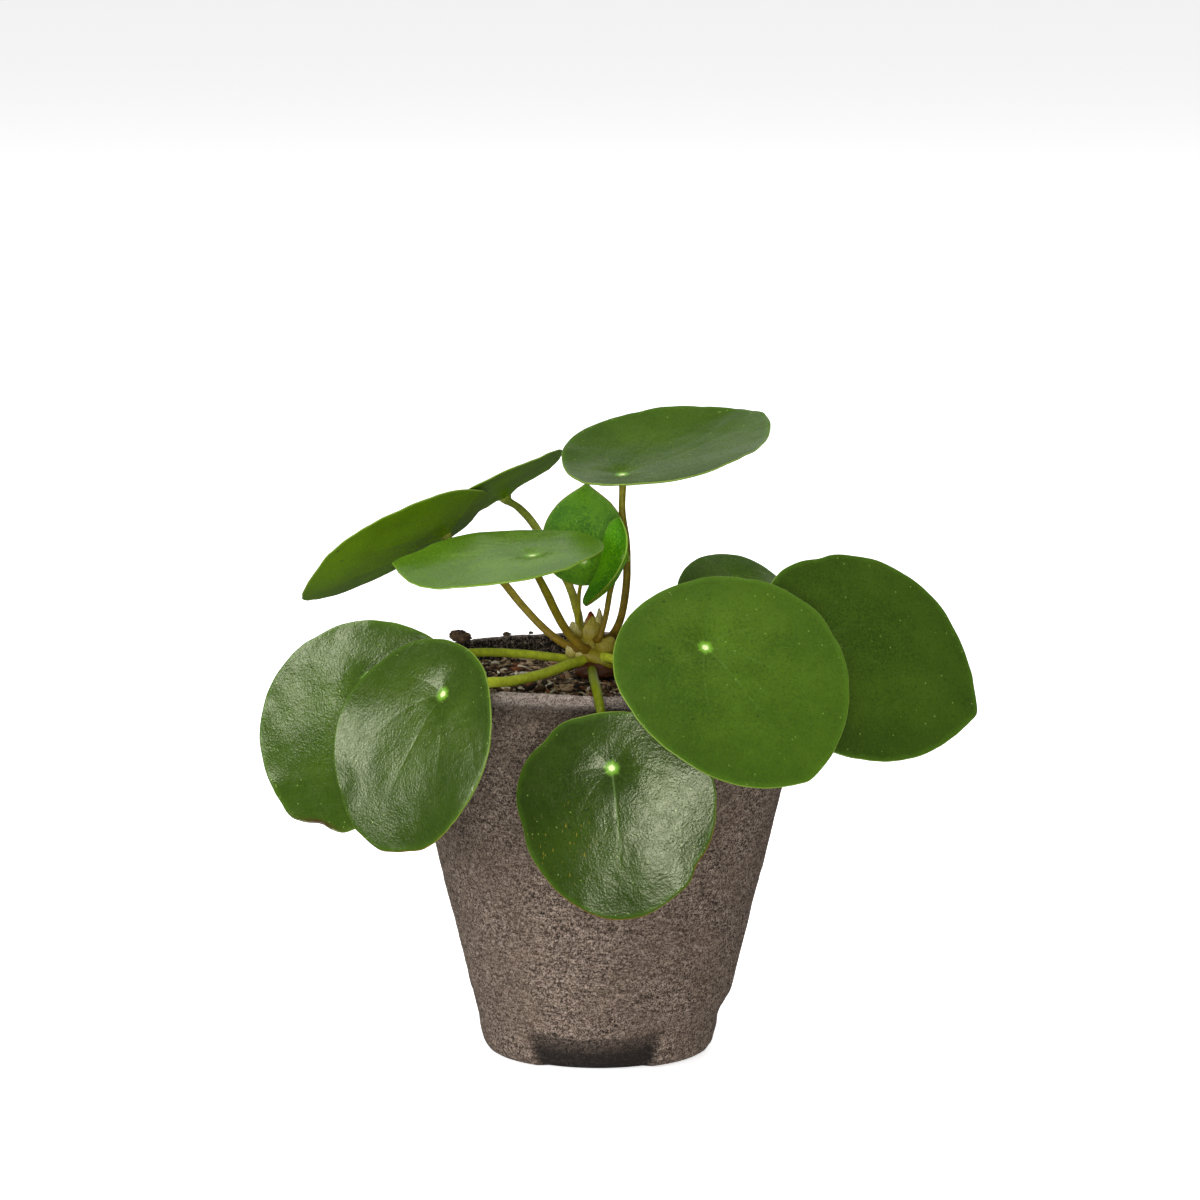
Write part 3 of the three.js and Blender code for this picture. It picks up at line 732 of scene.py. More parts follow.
def rise(leaf, u, v, share, angle):
    """Height of the blade's middle surface over its plane."""
    x = u / (leaf.length / 2)
    y = v / (leaf.width / 2)
    along, across, twist = leaf.curl
    curl = along * x * x + across * y * y + twist * x * y
    wave = leaf.ripple * share**3 * np.sin(WAVES * angle + leaf.length)
    keel = leaf.fold * (np.hypot(v, FOLD_ROUNDNESS) - FOLD_ROUNDNESS)
    navel = navel_depth(leaf) * np.exp(-(u * u + v * v) / DIMPLE.radius**2)
    flat = np.column_stack([u, v, np.full(len(u), leaf.at[0])])
    away = smooth(1.5, 6, np.hypot(u, v))
    pillow = layered(flat, (0.14, 13, 1), (0.09, 6, 2), (0.04, 2.6, 3))
    waver = 0.25 * share**4 * noise(flat, 5, 4)
    return curl + wave + keel - navel + (pillow * away + waver) * leaf.pucker


def marked(around, spots):
    """1 at each spot's angle on the margin, fading over its spread, in degrees."""
    mark = np.zeros_like(around)
    for centre, spread in spots:
        mark = np.maximum(mark, bell(degrees_from(centre, around), spread))
    return mark


def blade(name, leaf, slot, materials):
    """A closed blade: rings out over the underside, round the margin, and back over the top."""
    face, along, across = blade_frame(leaf)
    radius = leaf.length / 2
    rounding = 1 - MARGIN_ROUND * np.array([1, 0.7, 0.42, 0.2, 0.06]) / radius
    flat_rings = int(radius / BLADE_STEP)
    shares = np.concatenate([np.linspace(0, rounding[0], flat_rings + 1)[1:-1], rounding])
    share = np.concatenate([shares, [1], shares[::-1]])[:, None]
    side = np.repeat([-1, 0, 1], [len(shares), 1, len(shares)])[:, None]

    around = angles(BLADE_SIDES)
    edge_u, edge_v = margin(leaf, around)
    u, v = share * edge_u, share * edge_v
    around, share, side = (np.broadcast_to(a, u.shape) for a in (around, share, side))
    inward = np.clip((1 - share) * radius / MARGIN_ROUND, 0, 1)
    half = BLADE_HALF * np.sqrt(1 - (1 - inward) ** 2)
    veins = vein_depth(leaf, u, v)
    middle = rise(leaf, u.ravel(), v.ravel(), share.ravel(), around.ravel()).reshape(u.shape)
    swelling = VEIN_SWELLING * veins + JUNCTION * np.exp(-(u * u + v * v) / 4)
    lift = middle - VEIN_SINK * veins + side * half - np.where(side < 0, swelling, 0)

    narrowing = 1 / math.hypot(1, leaf.fold)
    parts = zip((u, v * narrowing, lift), (along, across, face))
    points = np.array(leaf.at, float) + sum(size[..., None] * axis for size, axis in parts)
    scratch_u, scratch_v, scratch_reach = leaf.scratched
    scratched = np.exp(-((u - scratch_u) ** 2 + (v - scratch_v) ** 2) / scratch_reach**2)
    marks = [marked(around, leaf.rust), marked(around, leaf.scorch), scratched]
    seed = 10.0 * list(LEAVES).index(name)
    kind = np.broadcast_to([seed, 1 / leaf.shade, leaf.midrib], points.shape)
    faces = ring_faces(len(points), BLADE_SIDES)
    is_underside = np.arange(len(faces)) < BLADE_SIDES * (len(shares) + 1)
    made = piece(
        name.replace("leaf", "blade"), with_poles(points), faces, materials, slot,
        skins=np.where(is_underside, 1, 0),
        plane=with_poles(np.stack([u, v, share], axis=-1)),
        marks=with_poles(np.stack(marks, axis=-1)),
        kind=with_poles(kind),
    )
    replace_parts(made, name + "_blade")


STALK_TONES = {
    "brown": rgb(138, 108, 26),
    "olive": rgb(158, 152, 30),
    "pale": rgb(176, 190, 84),
    "green": rgb(110, 122, 4),
    "lime": rgb(204, 216, 56),
}
STALK_SIDES = 20
STALK_RINGS = 90
FOOT_SWELLING = 0.3  # of the stalk where it leaves the crown, in stalk radii
HEAD_SWELLING = 0.75  # where it meets the blade
SLIM_HEAD_SWELLING = 0.3  # where it meets a blade with a fold or a ridge
WAIST = 0.12  # how much it narrows below its head
ROOT_SHARE = 0.45  # how far it runs in towards the heart of the crown
BLADE_OVERLAP = 0.7  # and into the blade


def tube(line, sizes, sides):
    """Rings of points round a line, one for each of its points, with the given radii."""
    way = np.gradient(line, axis=0)
    way /= np.linalg.norm(way, axis=1)[:, None]
    normal = np.cross(way[0], (0.3, 0.2, 1.0))
    turn = angles(sides)[:, None]
    rings = []
    for point, ahead, size in zip(line, way, sizes):
        normal = normal - ahead * (normal @ ahead)
        normal /= np.linalg.norm(normal)
        ring = np.cos(turn) * normal + np.sin(turn) * np.cross(ahead, normal)
        rings.append(point + ring * size)
    return np.array(rings)


def stalk(name, leaf, material):
    """A stalk that swells where it leaves the crown and where it meets the blade."""
    face, _, _ = blade_frame(leaf)
    end = np.array(leaf.at, float) - face * (navel_depth(leaf) + CAD_THICKNESS / 2 + CLEARANCE)
    first = np.array(leaf.path[0], float)
    heart = np.array([CROWN.x, CROWN.y, first[2] - 1.5])
    root = first + (heart - first) * ROOT_SHARE
    neck = end - face * leaf.neck * leaf.radius
    line = curve_through([root, *leaf.path, neck, end, end + face * BLADE_OVERLAP], STALK_RINGS)
    along = run_lengths(line)
    left = along[-1] - along
    head = SLIM_HEAD_SWELLING if leaf.fold else HEAD_SWELLING
    head = head * bell(left, 1.4) - WAIST * bell(left - 7, 5)
    sizes = leaf.radius * (1 + FOOT_SWELLING * bell(along, 4) + head)
    points = with_poles(tube(line, sizes, STALK_SIDES))
    points += 0.05 * noise(points, 4, 7)[:, None]
    base, tip, pale = (np.array(STALK_TONES[key]) for key in (*leaf.tones, "pale"))
    tone = base + (tip - base) * (along / along[-1])[:, None]
    tone += (pale - tone) * 0.8 * bell(left, 2.5)[:, None]
    tone = np.broadcast_to(tone[:, None, :], (STALK_RINGS, STALK_SIDES, 4))
    made = piece(
        name.replace("leaf", "stalk"), points, ring_faces(STALK_RINGS, STALK_SIDES), [material],
        "stalk", tone=with_poles(tone),
    )
    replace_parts(made, name + "_stalk")


# the undersides are painted a brighter, yellower green, partly their own paler colour and partly painted
# light that comes through the blade
leaf_skins = [
    blade_material("leaf_top", rgb(54, 80, 15), rgb(74, 101, 22), (0.2, 0.28), 0.9),
    blade_material("leaf_back", rgb(98, 132, 2), rgb(122, 162, 6), (0.5, 0.6), 0.6, True),
]
young_skins = [
    blade_material("young_leaf_top", rgb(44, 96, 0), rgb(104, 152, 4), (0.45, 0.58), 0.6),
    blade_material("young_leaf_back", rgb(96, 148, 6), rgb(124, 172, 12), (0.45, 0.55), 0.5, True),
]
stalk_skin = stalk_material()
for name, leaf in LEAVES.items():
    slot, skins = ("young_leaf", young_skins) if "young" in name else ("leaf", leaf_skins)
    blade(name, leaf, slot, skins)
    stalk(name, leaf, stalk_skin)


# ---------- pot ----------

POT_SIDES = 384
POT_STEP = 0.9  # between rows on the outside
INNER_STEP = 2.0  # and on the inside
FOOT_BLEND = 7  # height over which the foot's shift fades out
FUZZ_HAIRS = 260
HAIR = SimpleNamespace(points=6, sides=4, lengths=(0.6, 1.7), sizes=(0.07, 0.03))
LIP = SimpleNamespace(roundness=2.1, inset=2.2)  # the rounding of its top, and how far in it starts


def cone_radius(z):
    """The outer radius of the pot's straight cone."""
    foot, top = POT.cone_foot_radius, POT.rim_radius - POT.lip_overhang
    share = (z - POT.cone_foot_z) / (POT.height - POT.lip_height - POT.cone_foot_z)
    return foot + share * (top - foot)


def resampled(rows, step):
    """The same run of rows, evenly spaced by about step."""
    rows = np.asarray(rows, float)
    lengths = run_lengths(rows[:, :2])
    return spaced(rows, lengths, int(lengths[-1] / step) + 1)


def pot_rows():
    """Rows of radius, height and share of the pocket depth: up the outside and down the inside."""
    rim, height, wall = POT.rim_radius, POT.height, POT.wall
    foot, foot_z, contact = POT.foot_radius, POT.foot_top_z, POT.contact_radius
    cone_top = height - POT.lip_height
    outside = [
        (0.5, 0, 0), (contact, 0, 0.8), (contact + 2.8, 0.8, 1), (foot - 1.5, 3, 0.85),
        (foot - 0.4, 7.5, 0.5), (foot - 0.2, POCKETS.top_z, 0), (foot, foot_z, 0),
        (foot + 1.7, foot_z + 4.6, 0), (foot + 3.1, foot_z + 8, 0),
        (POT.cone_foot_radius, POT.cone_foot_z, 0), (cone_radius(cone_top), cone_top, 0),
        (rim - 0.4, cone_top + 0.8, 0), (rim, height - 1.9, 0), (rim - 0.7, height - 0.4, 0),
        (rim - 2.1, height, 0), (rim - 3.6, height - 0.3, 0), (rim - 4.2, height - 1.5, 0),
    ]
    inside = [
        (cone_radius(cone_top) - wall, cone_top, 0),
        (POT.cone_foot_radius - wall, POT.cone_foot_z, 0), (foot - wall + 2.2, foot_z + 7, 0),
        (foot - wall, foot_z + 1, 0), (foot - wall - 0.8, foot_z - 4, 0),
        (contact - 0.6, POT.floor + 0.3, 0), (0.5, POT.floor, 0),
    ]
    inner = resampled([outside[-1], *inside], INNER_STEP)
    return np.vstack([resampled(outside, POT_STEP), inner[1:]])


def pocket_turn(angle):
    """Degrees from the middle of the nearest pocket."""
    pitch = 360 / POCKETS.count
    return np.abs((angle - POCKETS.first_angle + pitch / 2) % pitch - pitch / 2)


def pocket_share(angle):
    """1 in the middle of a pocket and 0 outside, at an angle in degrees."""
    return smooth(0, 1, (POCKETS.half_width - pocket_turn(angle)) / POCKETS.edge)


def pot(material):
    rows = pot_rows()
    radius, z, pocket, around = turned(rows, POT_SIDES)
    inner = np.arange(len(rows))[:, None] > np.argmax(rows[:, 1])
    inner = np.broadcast_to(inner, radius.shape)
    in_pocket = pocket_share(np.degrees(around))
    radius = radius - pocket * POCKETS.depth * in_pocket
    flat = round_points(radius, around, z).reshape(-1, 3)
    felt = layered(flat, (0.12, 1.8, 11), (0.2, 9, 12), (0.08, 3.5, 13))
    felt = felt.reshape(radius.shape) * smooth(0.2, 2, z)
    # the lip, whose top is also painted lighter as a highlight
    lip = smooth(POT.height - 5, POT.height - 3, z)
    top_wave = layered(flat, (0.25, 14, 14), (0.2, 2, 15)).reshape(radius.shape) * lip
    radius = radius + np.where(inner, -felt, felt)
    points = round_points(radius, around, np.maximum(z + top_wave, 0))
    shift = POT.foot_shift * (1 - smooth(POT.foot_top_z, POT.foot_top_z + FOOT_BLEND, z))
    points[..., 0] += np.where(inner, 0, shift)

    # painted shade: darker under a pocket's arched roof, partly damp fibre and partly shade, and in the
    # groove under the lip, where the lip's shadow falls
    roof = POCKETS.top_z - 0.6 + 2.2 * (pocket_turn(np.degrees(around)) / POCKETS.half_width) ** 2
    dimness = 0.66 * smooth(-0.6, 0.6, roof - z) + 0.34 * smooth(1.5, 6, roof - z)
    groove = 0.45 * bell(z - (POT.height - 5.5), 2.2)
    damp_and_shade = np.maximum(in_pocket * dimness, np.where(inner, 0, groove))
    # painted shade on the inner wall, from just below the rim down
    inside = np.where(inner, smooth(0.1, 0.6, POT.height - z), 0.0)
    made = piece(
        "pot_shell", with_poles(points), ring_faces(len(rows), POT_SIDES), [material], "fibre",
        zone=with_poles(np.stack([inside, damp_and_shade, lip], axis=-1)),
    )
    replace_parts(made, "pot")


def lip_fuzz(material):
    """Loose fibres that stand off the lip."""
    random = np.random.default_rng(21)
    hairs = []
    for _ in range(FUZZ_HAIRS):
        angle = random.uniform(0, 2 * np.pi)
        out = np.array([math.cos(angle), math.sin(angle), 0])
        slope = random.uniform(0.1, 1.7)
        foot = out * (POT.rim_radius - LIP.inset + LIP.roundness * math.sin(slope))
        foot = foot + [0, 0, POT.height - LIP.roundness + LIP.roundness * math.cos(slope)]
        away = out * math.sin(slope) + [0, 0, math.cos(slope)]
        sideways = random.normal(size=3)
        length = random.uniform(*HAIR.lengths)
        end = foot + (away * 0.6 + sideways * 0.3) * length
        line = curve_through([foot - away * 0.3, foot + away * 0.3 * length, end], HAIR.points)
        rings = tube(line, np.linspace(*HAIR.sizes, HAIR.points), HAIR.sides)
        hairs.append((with_poles(rings), ring_faces(HAIR.points, HAIR.sides)))
    points, faces = joined(hairs)
    # the loose fibres take the lip's painted highlight
    zone = np.tile([0.0, 0.0, 1.0], (len(points), 1))
    piece("pot_lip_fibres", points, faces, [material], "fibre", zone=zone)


moulded_fibre = fibre_material()
pot(moulded_fibre)
lip_fuzz(moulded_fibre)


# ---------- potting mix ----------

SOIL_SIDES = 300
SOIL_STEP = 0.6
SOIL_EDGE_Z = POT.height - SOIL.edge_drop
CHIPS = 3400
CHIP_SIZES = [0.4, 0.65, 1.0, 1.4]
CHIP_SIZE_SHARES = [0.3, 0.36, 0.26, 0.08]
CHIP_STRETCH = [(1, 2.6), (0.7, 1.1), (0.35, 0.8)]  # limits along, across and up
CHIP_TONES = [
    (rgb(34, 25, 19), 0.3), (rgb(92, 66, 48), 0.26), (rgb(140, 86, 54), 0.1),
    (rgb(176, 146, 112), 0.2), (rgb(236, 222, 196), 0.14),
]
STRAWS = 240
STRAW = SimpleNamespace(points=12, sides=6, lengths=(2, 6), sizes=(0.15, 0.36), tone=rgb(214, 190, 152))
CRUMB_RINGS = 18
CRUMB_SIDES = 30


def soil_height(radius):
    return SOIL_EDGE_Z + SOIL.mound * (1 - smooth(0, 1, radius / SOIL.mound_radius))


def soil(material):
    """The ground in the pot, with a hole for the crown."""
    wall = POT.wall + CLEARANCE
    hole = CROWN.radius + CLEARANCE
    edge = cone_radius(SOIL_EDGE_Z) - wall
    foot, foot_z = POT.foot_radius - wall, POT.foot_top_z
    below = [
        (0.5, POT.floor + CLEARANCE), (POT.contact_radius - 1, POT.floor + 2 * CLEARANCE),
        (foot - 0.9, foot_z - 3.8), (foot, foot_z + 1.2), (foot + 2.1, foot_z + 7.2),
        (POT.cone_foot_radius - wall, POT.cone_foot_z + CLEARANCE), (edge, SOIL_EDGE_Z),
    ]
    top_radii = np.linspace(edge, hole, int((edge - hole) / SOIL_STEP) + 1)[1:]
    top = np.column_stack([top_radii, soil_height(top_radii)])
    rows = np.vstack([below, top, [(hole, CROWN.bottom_z), (0.5, CROWN.bottom_z)]])
    radius, z, around = turned(rows, SOIL_SIDES)
    points = round_points(radius, around, z)
    rough = layered(points.reshape(-1, 3), (0.5, 5, 31), (0.45, 2.2, 32), (0.2, 1.1, 33))
    on_top = (z > SOIL_EDGE_Z - 0.1) & (radius < edge - 0.1)
    points[..., 2] += np.where(on_top, rough.reshape(z.shape) - 0.2, 0)
    share = np.clip((edge - radius) / (edge - hole), 0, 1) * (z >= CROWN.bottom_z - 0.1)
    points[..., 0] += CROWN.x * share
    faces = ring_faces(len(rows), SOIL_SIDES)
    made = piece("soil_ground", with_poles(points), faces, [material], "potting_mix")
    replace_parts(made, "soil")


def icosahedron():
    golden = (1 + 5**0.5) / 2
    points = [(0, s, t * golden) for s in (-1, 1) for t in (-1, 1)]
    points = np.array([np.roll(p, k) for k in range(3) for p in points], float)
    points /= np.linalg.norm(points[0])
    near = np.linalg.norm(points[:, None] - points[None], axis=-1) < 1.1
    faces = []
    for a, b, c in itertools.combinations(range(12), 3):
        if near[a, b] and near[b, c] and near[a, c]:
            out = np.dot(np.cross(points[b] - points[a], points[c] - points[a]), points[a])
            faces.append([a, b, c] if out > 0 else [a, c, b])
    return points, faces


def scattered(random, count, wall_gap, stem_gap):
    """That many places on the ground, with gaps to the pot's wall and to the stem."""
    reach = cone_radius(SOIL_EDGE_Z) - POT.wall - wall_gap
    found = 0
    while found < count:
        x, y = random.uniform(-reach, reach, 2)
        on_stem = math.hypot(x - CROWN.x, y) < CROWN.radius + stem_gap
        if math.hypot(x, y) <= reach and not on_stem:
            found += 1
            yield x, y


def about_z(angle):
    c, s = math.cos(angle), math.sin(angle)
    return np.array([[c, -s, 0], [s, c, 0], [0, 0, 1]])


def about_y(angle):
    c, s = math.cos(angle), math.sin(angle)
    return np.array([[c, 0, -s], [0, 1, 0], [s, 0, c]])


def soil_chips(material):
    """Crumbs, bark and husk bits lying on the ground."""
    random = np.random.default_rng(5)
    ball, ball_faces = icosahedron()
    tones, shares = zip(*CHIP_TONES)
    parts, colours = [], []
    for x, y in scattered(random, CHIPS, wall_gap=1.4, stem_gap=0.8):
        size = random.choice(CHIP_SIZES, p=CHIP_SIZE_SHARES)
        stretch = [random.uniform(*limits) for limits in CHIP_STRETCH]
        lumps = ball * random.uniform(0.7, 1.25, (12, 1)) * size * np.array(stretch)
        lean = about_y(random.normal(0, 0.35))
        spin = about_z(random.uniform(0, 2 * np.pi))
        z = soil_height(math.hypot(x, y)) + random.uniform(-0.3, 0.45) * size + 0.15
        parts.append((lumps @ (spin @ lean).T + np.array([x, y, z]), ball_faces))
        tone = np.array(tones[random.choice(len(tones), p=shares)]) * random.uniform(0.7, 1.25)
        colours.append(np.tile(tone, (12, 1)))
    points, faces = joined(parts)
    piece("soil_chips", points, faces, [material], "potting_mix", tone=np.vstack(colours))


def soil_straws(material):
    """Pale root and bark fibres lying on the ground."""
    random = np.random.default_rng(8)
    parts, colours = [], []
    for x, y in scattered(random, STRAWS, wall_gap=5, stem_gap=4):
        heading, length = random.uniform(0, 2 * np.pi), random.uniform(*STRAW.lengths)
        ahead = np.array([math.cos(heading), math.sin(heading)])
        side = np.array([-ahead[1], ahead[0]]) * random.normal(0, 0.22) * length
        shares = (-0.5, -0.15, 0.2, 0.5)
        flat = [np.array([x, y]) + ahead * length * s + side * math.sin(s * 3) for s in shares]
        knots = [(*p, soil_height(np.hypot(*p)) + random.uniform(0.3, 0.9)) for p in flat]
        line = curve_through(knots, STRAW.points)
        thick = random.uniform(*STRAW.sizes) * np.sin(np.linspace(0.5, 2.8, STRAW.points))
        rings = with_poles(tube(line, thick, STRAW.sides))
        parts.append((rings, ring_faces(STRAW.points, STRAW.sides)))
        tone = np.array(STRAW.tone) * random.uniform(0.3, 1.2)
        colours.append(np.tile(tone, (len(rings), 1)))
    points, faces = joined(parts)
    piece("soil_straws", points, faces, [material], "potting_mix", tone=np.vstack(colours))


def crumb_on_rim(material):
    """A lump of potting mix on the back left of the rim, with two small bits beside it."""
    polar = np.linspace(0, np.pi, CRUMB_RINGS + 2)[1:-1, None]
    around = angles(CRUMB_SIDES)
    ball = round_points(np.sin(polar), around, np.cos(polar) + 0 * around)[::-1]
    # x, y, turn, length, width, height and seed
    lumps = [
        (CRUMB.x, CRUMB.y, CRUMB.turn, CRUMB.length, CRUMB.width, CRUMB.height, 1),
        (-27.5, 51.2, 20, 2.4, 1.4, 1.1, 2),
        (-20.5, 54.3, 60, 1.6, 1.1, 0.9, 3),
    ]
    parts = []
    for x, y, turn, length, width, height, seed in lumps:
        flat = ball.reshape(-1, 3)
        lump = 1 + layered(flat, (0.28, 0.7, seed), (0.3, 0.3, seed + 9))
        shape = flat * lump[:, None] * np.array([length, width, height]) / 2
        shape[:, :2] *= 1.05 - 0.35 * flat[:, 2:]
        shape[:, 2] = np.maximum(shape[:, 2], -CRUMB.flat * height / 2)
        shape = shape @ about_z(math.radians(turn)).T
        shape += [x, y, POT.height + CRUMB.flat * height / 2]
        rings = with_poles(shape.reshape(ball.shape))
        parts.append((rings, ring_faces(CRUMB_RINGS, CRUMB_SIDES)))
    points, faces = joined(parts)
    made = piece("rim_crumbs", points, faces, [material], "potting_mix")
    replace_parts(made, "rim_crumb")


potting_mix = soil_material("potting_mix", False)
chip_mix = soil_material("soil_chip", True)
soil(potting_mix)
soil_chips(chip_mix)
soil_straws(chip_mix)
crumb_on_rim(potting_mix)


# ---------- crown ----------

# scales of the crown: foot, tip, width, thickness, the way it faces, bulge, cup, tones
SCALES = {
    "bud": ((-3.2, -0.6, 117), (-3.1, -0.4, 124.2), 3.6, 3.0, (0, -1, 0.1), 0.3, 0.0, "bud", "bud_tip"),
    "sheath": ((-3.0, -2.2, 115), (-2.4, -1.8, 123.0), 5.2, 1.0, (0, -1, 0.1), 1.0, 0.12, "olive", "straw"),
    "sheath_point": (
        (-1.0, -1.6, 117.4), (-0.7, -1.3, 125.2), 2.6, 0.5, (0.4, -1, 0.1), 0.5, 0.2, "straw", "paper",
    ),
    "scale_left": (
        (-6.2, 0.8, 116.2), (-8.2, 1.2, 121.2), 4.4, 0.8, (-0.8, -0.8, 0.3), 1.0, 0.15, "olive", "paper",
    ),
    "scale_right": (
        (-0.6, -3.8, 112), (2.9, -3.6, 117.6), 6.2, 1.2, (0.3, -1, 0.2), 1.5, 0.1, "olive", "straw",
    ),
    "bulge": ((-5.0, -3.8, 113.4), (4.6, -5.6, 109.2), 5.0, 3.6, (0.2, -1, 0), 0.7, 0.05, "olive", "green"),
    "foot": ((-7.4, -6.4, 109.0), (4.6, -6.4, 108.6), 4.6, 2.2, (0, -1, 0.2), 0.5, 0.05, "bark", "bark"),
    "edge": (
        (-5.6, -4.2, 110.2), (-4.4, -5.0, 113.6), 5.6, 0.5, (-0.3, -1, 0.1), 0.4, 0.1, "straw", "paper",
    ),
    "scale_low_left": (
        (-7.2, -1.8, 111.2), (-9.6, -2.2, 114.8), 3.6, 0.7, (-0.8, -0.8, 0.2), 0.7, 0.12, "straw", "paper",
    ),
    "scale_back": (
        (-2.4, 3.2, 113.6), (-2.0, 4.4, 120.4), 5.0, 0.8, (0, 1, 0.2), 1.0, 0.12, "olive", "straw",
    ),
    "scale_back_right": (
        (0.4, 2.4, 110), (2.0, 3.4, 115.4), 4.6, 0.9, (0.7, 0.7, 0.2), 1.0, 0.1, "olive", "paper",
    ),
}
CROWN_TONES = {
    "bud": rgb(168, 156, 54),
    "bud_tip": rgb(150, 40, 24),
    "olive": rgb(168, 152, 40),
    "straw": rgb(196, 182, 74),
    "paper": rgb(226, 214, 144),
    "green": rgb(176, 176, 22),
    "bark": rgb(100, 58, 32),
    "stem": rgb(104, 52, 26),
}
SCALE_RINGS = 20
SCALE_SIDES = 24
PAPER_RELIEF = 0.1  # of a thin scale
BARK_RELIEF = 0.55  # of the woody foot
STEM_SIDES = 64
STEM_ROWS = [  # radius and height
    (0.4, 92.5), (3.4, 92.5), (4.0, 95), (4.2, 104), (4.1, 108), (3.6, 110), (4.1, 112),
    (4.0, 114.5), (3.0, 117.5), (2.2, 120), (1.0, 122.4), (0.3, 122.8),
]


def crown_scale(name, foot, tip, width, thick, facing, bulge, cup, foot_tone, tip_tone, material):
    """A pointed scale, thin at its edges, that bulges outwards and hugs the stem."""
    foot, tip = np.array(foot, float), np.array(tip, float)
    ahead = (tip - foot) / np.linalg.norm(tip - foot)
    face = np.array(facing, float)
    face -= ahead * (face @ ahead)
    face /= np.linalg.norm(face)
    across = np.cross(ahead, face)
    share = np.linspace(0, 1, SCALE_RINGS)[:, None]
    turn = angles(SCALE_SIDES)[None, :]
    spread = np.sin(np.pi * (0.16 + 0.83 * share)) ** 0.7
    ragged = 1 + 0.16 * np.sin(turn * 3 + share * 9) * share
    side = width / 2 * spread * np.cos(turn) * ragged
    deep = thick / 2 * spread**0.5 * np.sin(turn) + bulge * np.sin(np.pi * share) - cup * side**2
    torn = 0.07 * np.sin(turn * 5 + share * 9) * share**2
    rings = foot + (share + torn)[..., None] * (tip - foot)
    points = with_poles(rings + side[..., None] * across + deep[..., None] * face)
    relief = BARK_RELIEF if foot_tone == "bark" else PAPER_RELIEF
    points += relief * noise(points, 0.9, 41)[:, None] * face
    base, end = (np.array(CROWN_TONES[key]) for key in (foot_tone, tip_tone))
    tone = np.broadcast_to(base + (end - base) * share[..., None] ** 2, (SCALE_RINGS, SCALE_SIDES, 4))
    faces = ring_faces(SCALE_RINGS, SCALE_SIDES)
    return piece(name, points, faces, [material], "crown", tone=with_poles(tone))


def crown_stem(material):
    """The short stem: reddish brown at the ground, olive above, with a ring scar."""
    rows = resampled(STEM_ROWS, 0.4)
    radius, z, around = turned(rows, STEM_SIDES)
    points = round_points(radius, around, z)
    lumps = layered(points.reshape(-1, 3), (0.5, 2.4, 51), (0.2, 0.9, 52)).reshape(radius.shape)
    grow = 1 + lumps / np.maximum(radius, 1) * smooth(0, 2, radius)
    points[..., :2] *= grow[..., None]
    points += [CROWN.x, CROWN.y, 0]
    base, end = (np.array(CROWN_TONES[key]) for key in ("stem", "olive"))
    tone = base + (end - base) * smooth(109.4, 111.6, z + lumps)[..., None]
    faces = ring_faces(len(rows), STEM_SIDES)
    return piece(
        "crown_stem", with_poles(points), faces, [material], "crown", tone=with_poles(tone),
    )


stipule_paper = papery_material()
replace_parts(crown_stem(stipule_paper), "crown")
for name, shape in SCALES.items():
    crown_scale("crown_" + name, *shape, stipule_paper)


# ---------- studio ----------

LAMP_DISTANCE = 3000
LAMP_AIM = Vector((0, 0, 110))
FLOOR_HALF = 60.0  # metres
FLOOR_GLOW = 0.75
VIEW_LENGTH = 200  # metres


def place_towards(made, place, aim):
    made.location = Vector(place) * MM
    made.rotation_euler = (Vector(aim) - Vector(place)).to_track_quat("-Z", "Y").to_euler()


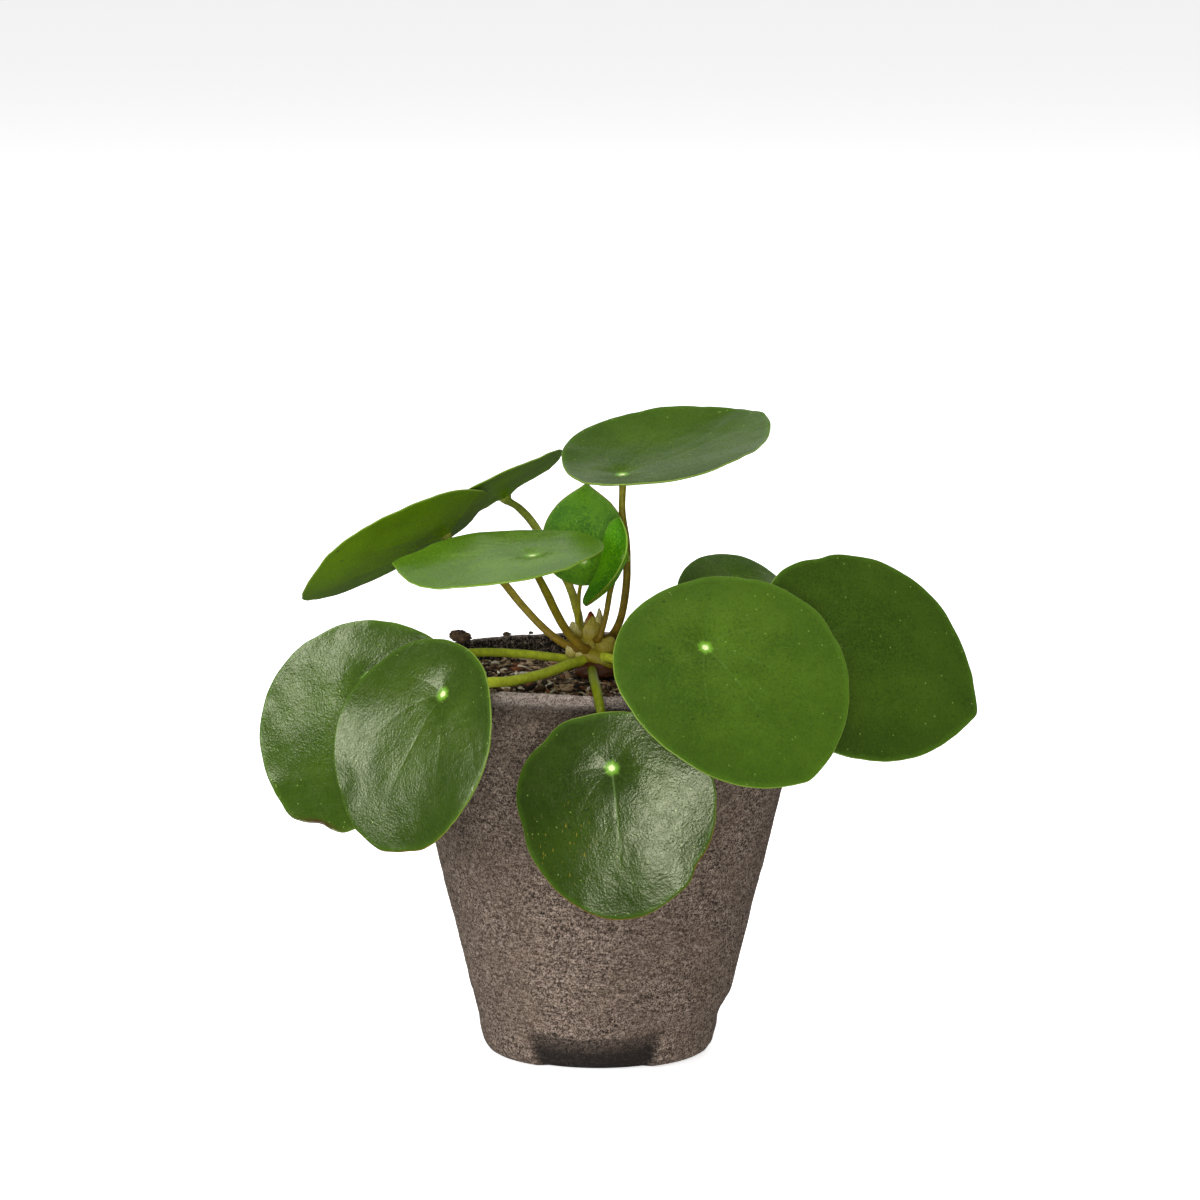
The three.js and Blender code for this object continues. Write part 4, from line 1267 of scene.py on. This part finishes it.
def softbox(name, azimuth, elevation, spread, radiance, mirrored=True):
    """A lamp seen from the plant: azimuth 0 is the front, spread its angular size."""
    around, up = math.radians(azimuth), math.radians(elevation)
    level = math.cos(up)
    direction = Vector((level * math.sin(around), -level * math.cos(around), math.sin(up)))
    wide, high = (2 * LAMP_DISTANCE * math.tan(math.radians(part / 2)) for part in spread)
    data = bpy.data.lights.new(name, "AREA")
    data.shape = "RECTANGLE"
    data.size, data.size_y = wide * MM, high * MM
    data.energy = radiance * math.pi * data.size * data.size_y
    made = placed(name, data)
    place_towards(made, LAMP_AIM + direction * LAMP_DISTANCE, LAMP_AIM)
    made.visible_camera = False
    made.visible_glossy = mirrored


def studio_world(strength):
    world = bpy.data.worlds.new("studio")
    world.use_nodes = True
    background = world.node_tree.nodes["Background"].inputs
    background["Color"].default_value = (1, 1, 1, 1)
    background["Strength"].default_value = strength
    bpy.context.scene.world = world


def studio_floor():
    g = Graph("pale_floor")
    grain = g.noise(g.millimetres(), 0.01, 2)
    colour = g.blend(grain, (0.9, 0.9, 0.9, 1), (0.94, 0.94, 0.94, 1))
    material = g.finish(g.surface(
        Base_Color=colour, Roughness=0.9, Emission_Color=(1, 1, 1, 1), Emission_Strength=FLOOR_GLOW,
    ))
    mesh = bpy.data.meshes.new("floor")
    corners = [(x * FLOOR_HALF, y * FLOOR_HALF, 0) for x, y in ((-1, -1), (1, -1), (1, 1), (-1, 1))]
    mesh.from_pydata(corners, [], [(0, 1, 2, 3)])
    mesh.materials.append(material)
    floor = placed("floor", mesh)
    floor.visible_diffuse = False
    floor.visible_glossy = False
    floor.visible_shadow = False
    floor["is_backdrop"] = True


def photo_camera():
    data = bpy.data.cameras.new("photo_camera")
    data.lens = CAMERA.lens
    data.sensor_width = CAMERA.sensor
    data.clip_end = VIEW_LENGTH
    made = placed("photo_camera", data)
    place_towards(made, CAMERA.place, CAMERA.aim)
    bpy.context.scene.camera = made


softbox("window_left", -72, 15.5, (15, 22), 13)
softbox("window_front", 0.5, 0, (20, 15), 17)
softbox("backdrop", 180, 21, (60, 42), 0.45)
softbox("bounce", 40, -40, (60, 50), 1.2, mirrored=False)
softbox("fill_front", -25, 35, (60, 50), 2, mirrored=False)
softbox("fill_top", 180, 80, (60, 60), 2, mirrored=False)
studio_world(0.15)
studio_floor()
photo_camera()
bpy.context.scene.view_settings.view_transform = "Standard"

sizes = {"cad": cad_box, "visual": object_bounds()}
{key: [list(corner) for corner in box] for key, box in sizes.items()}
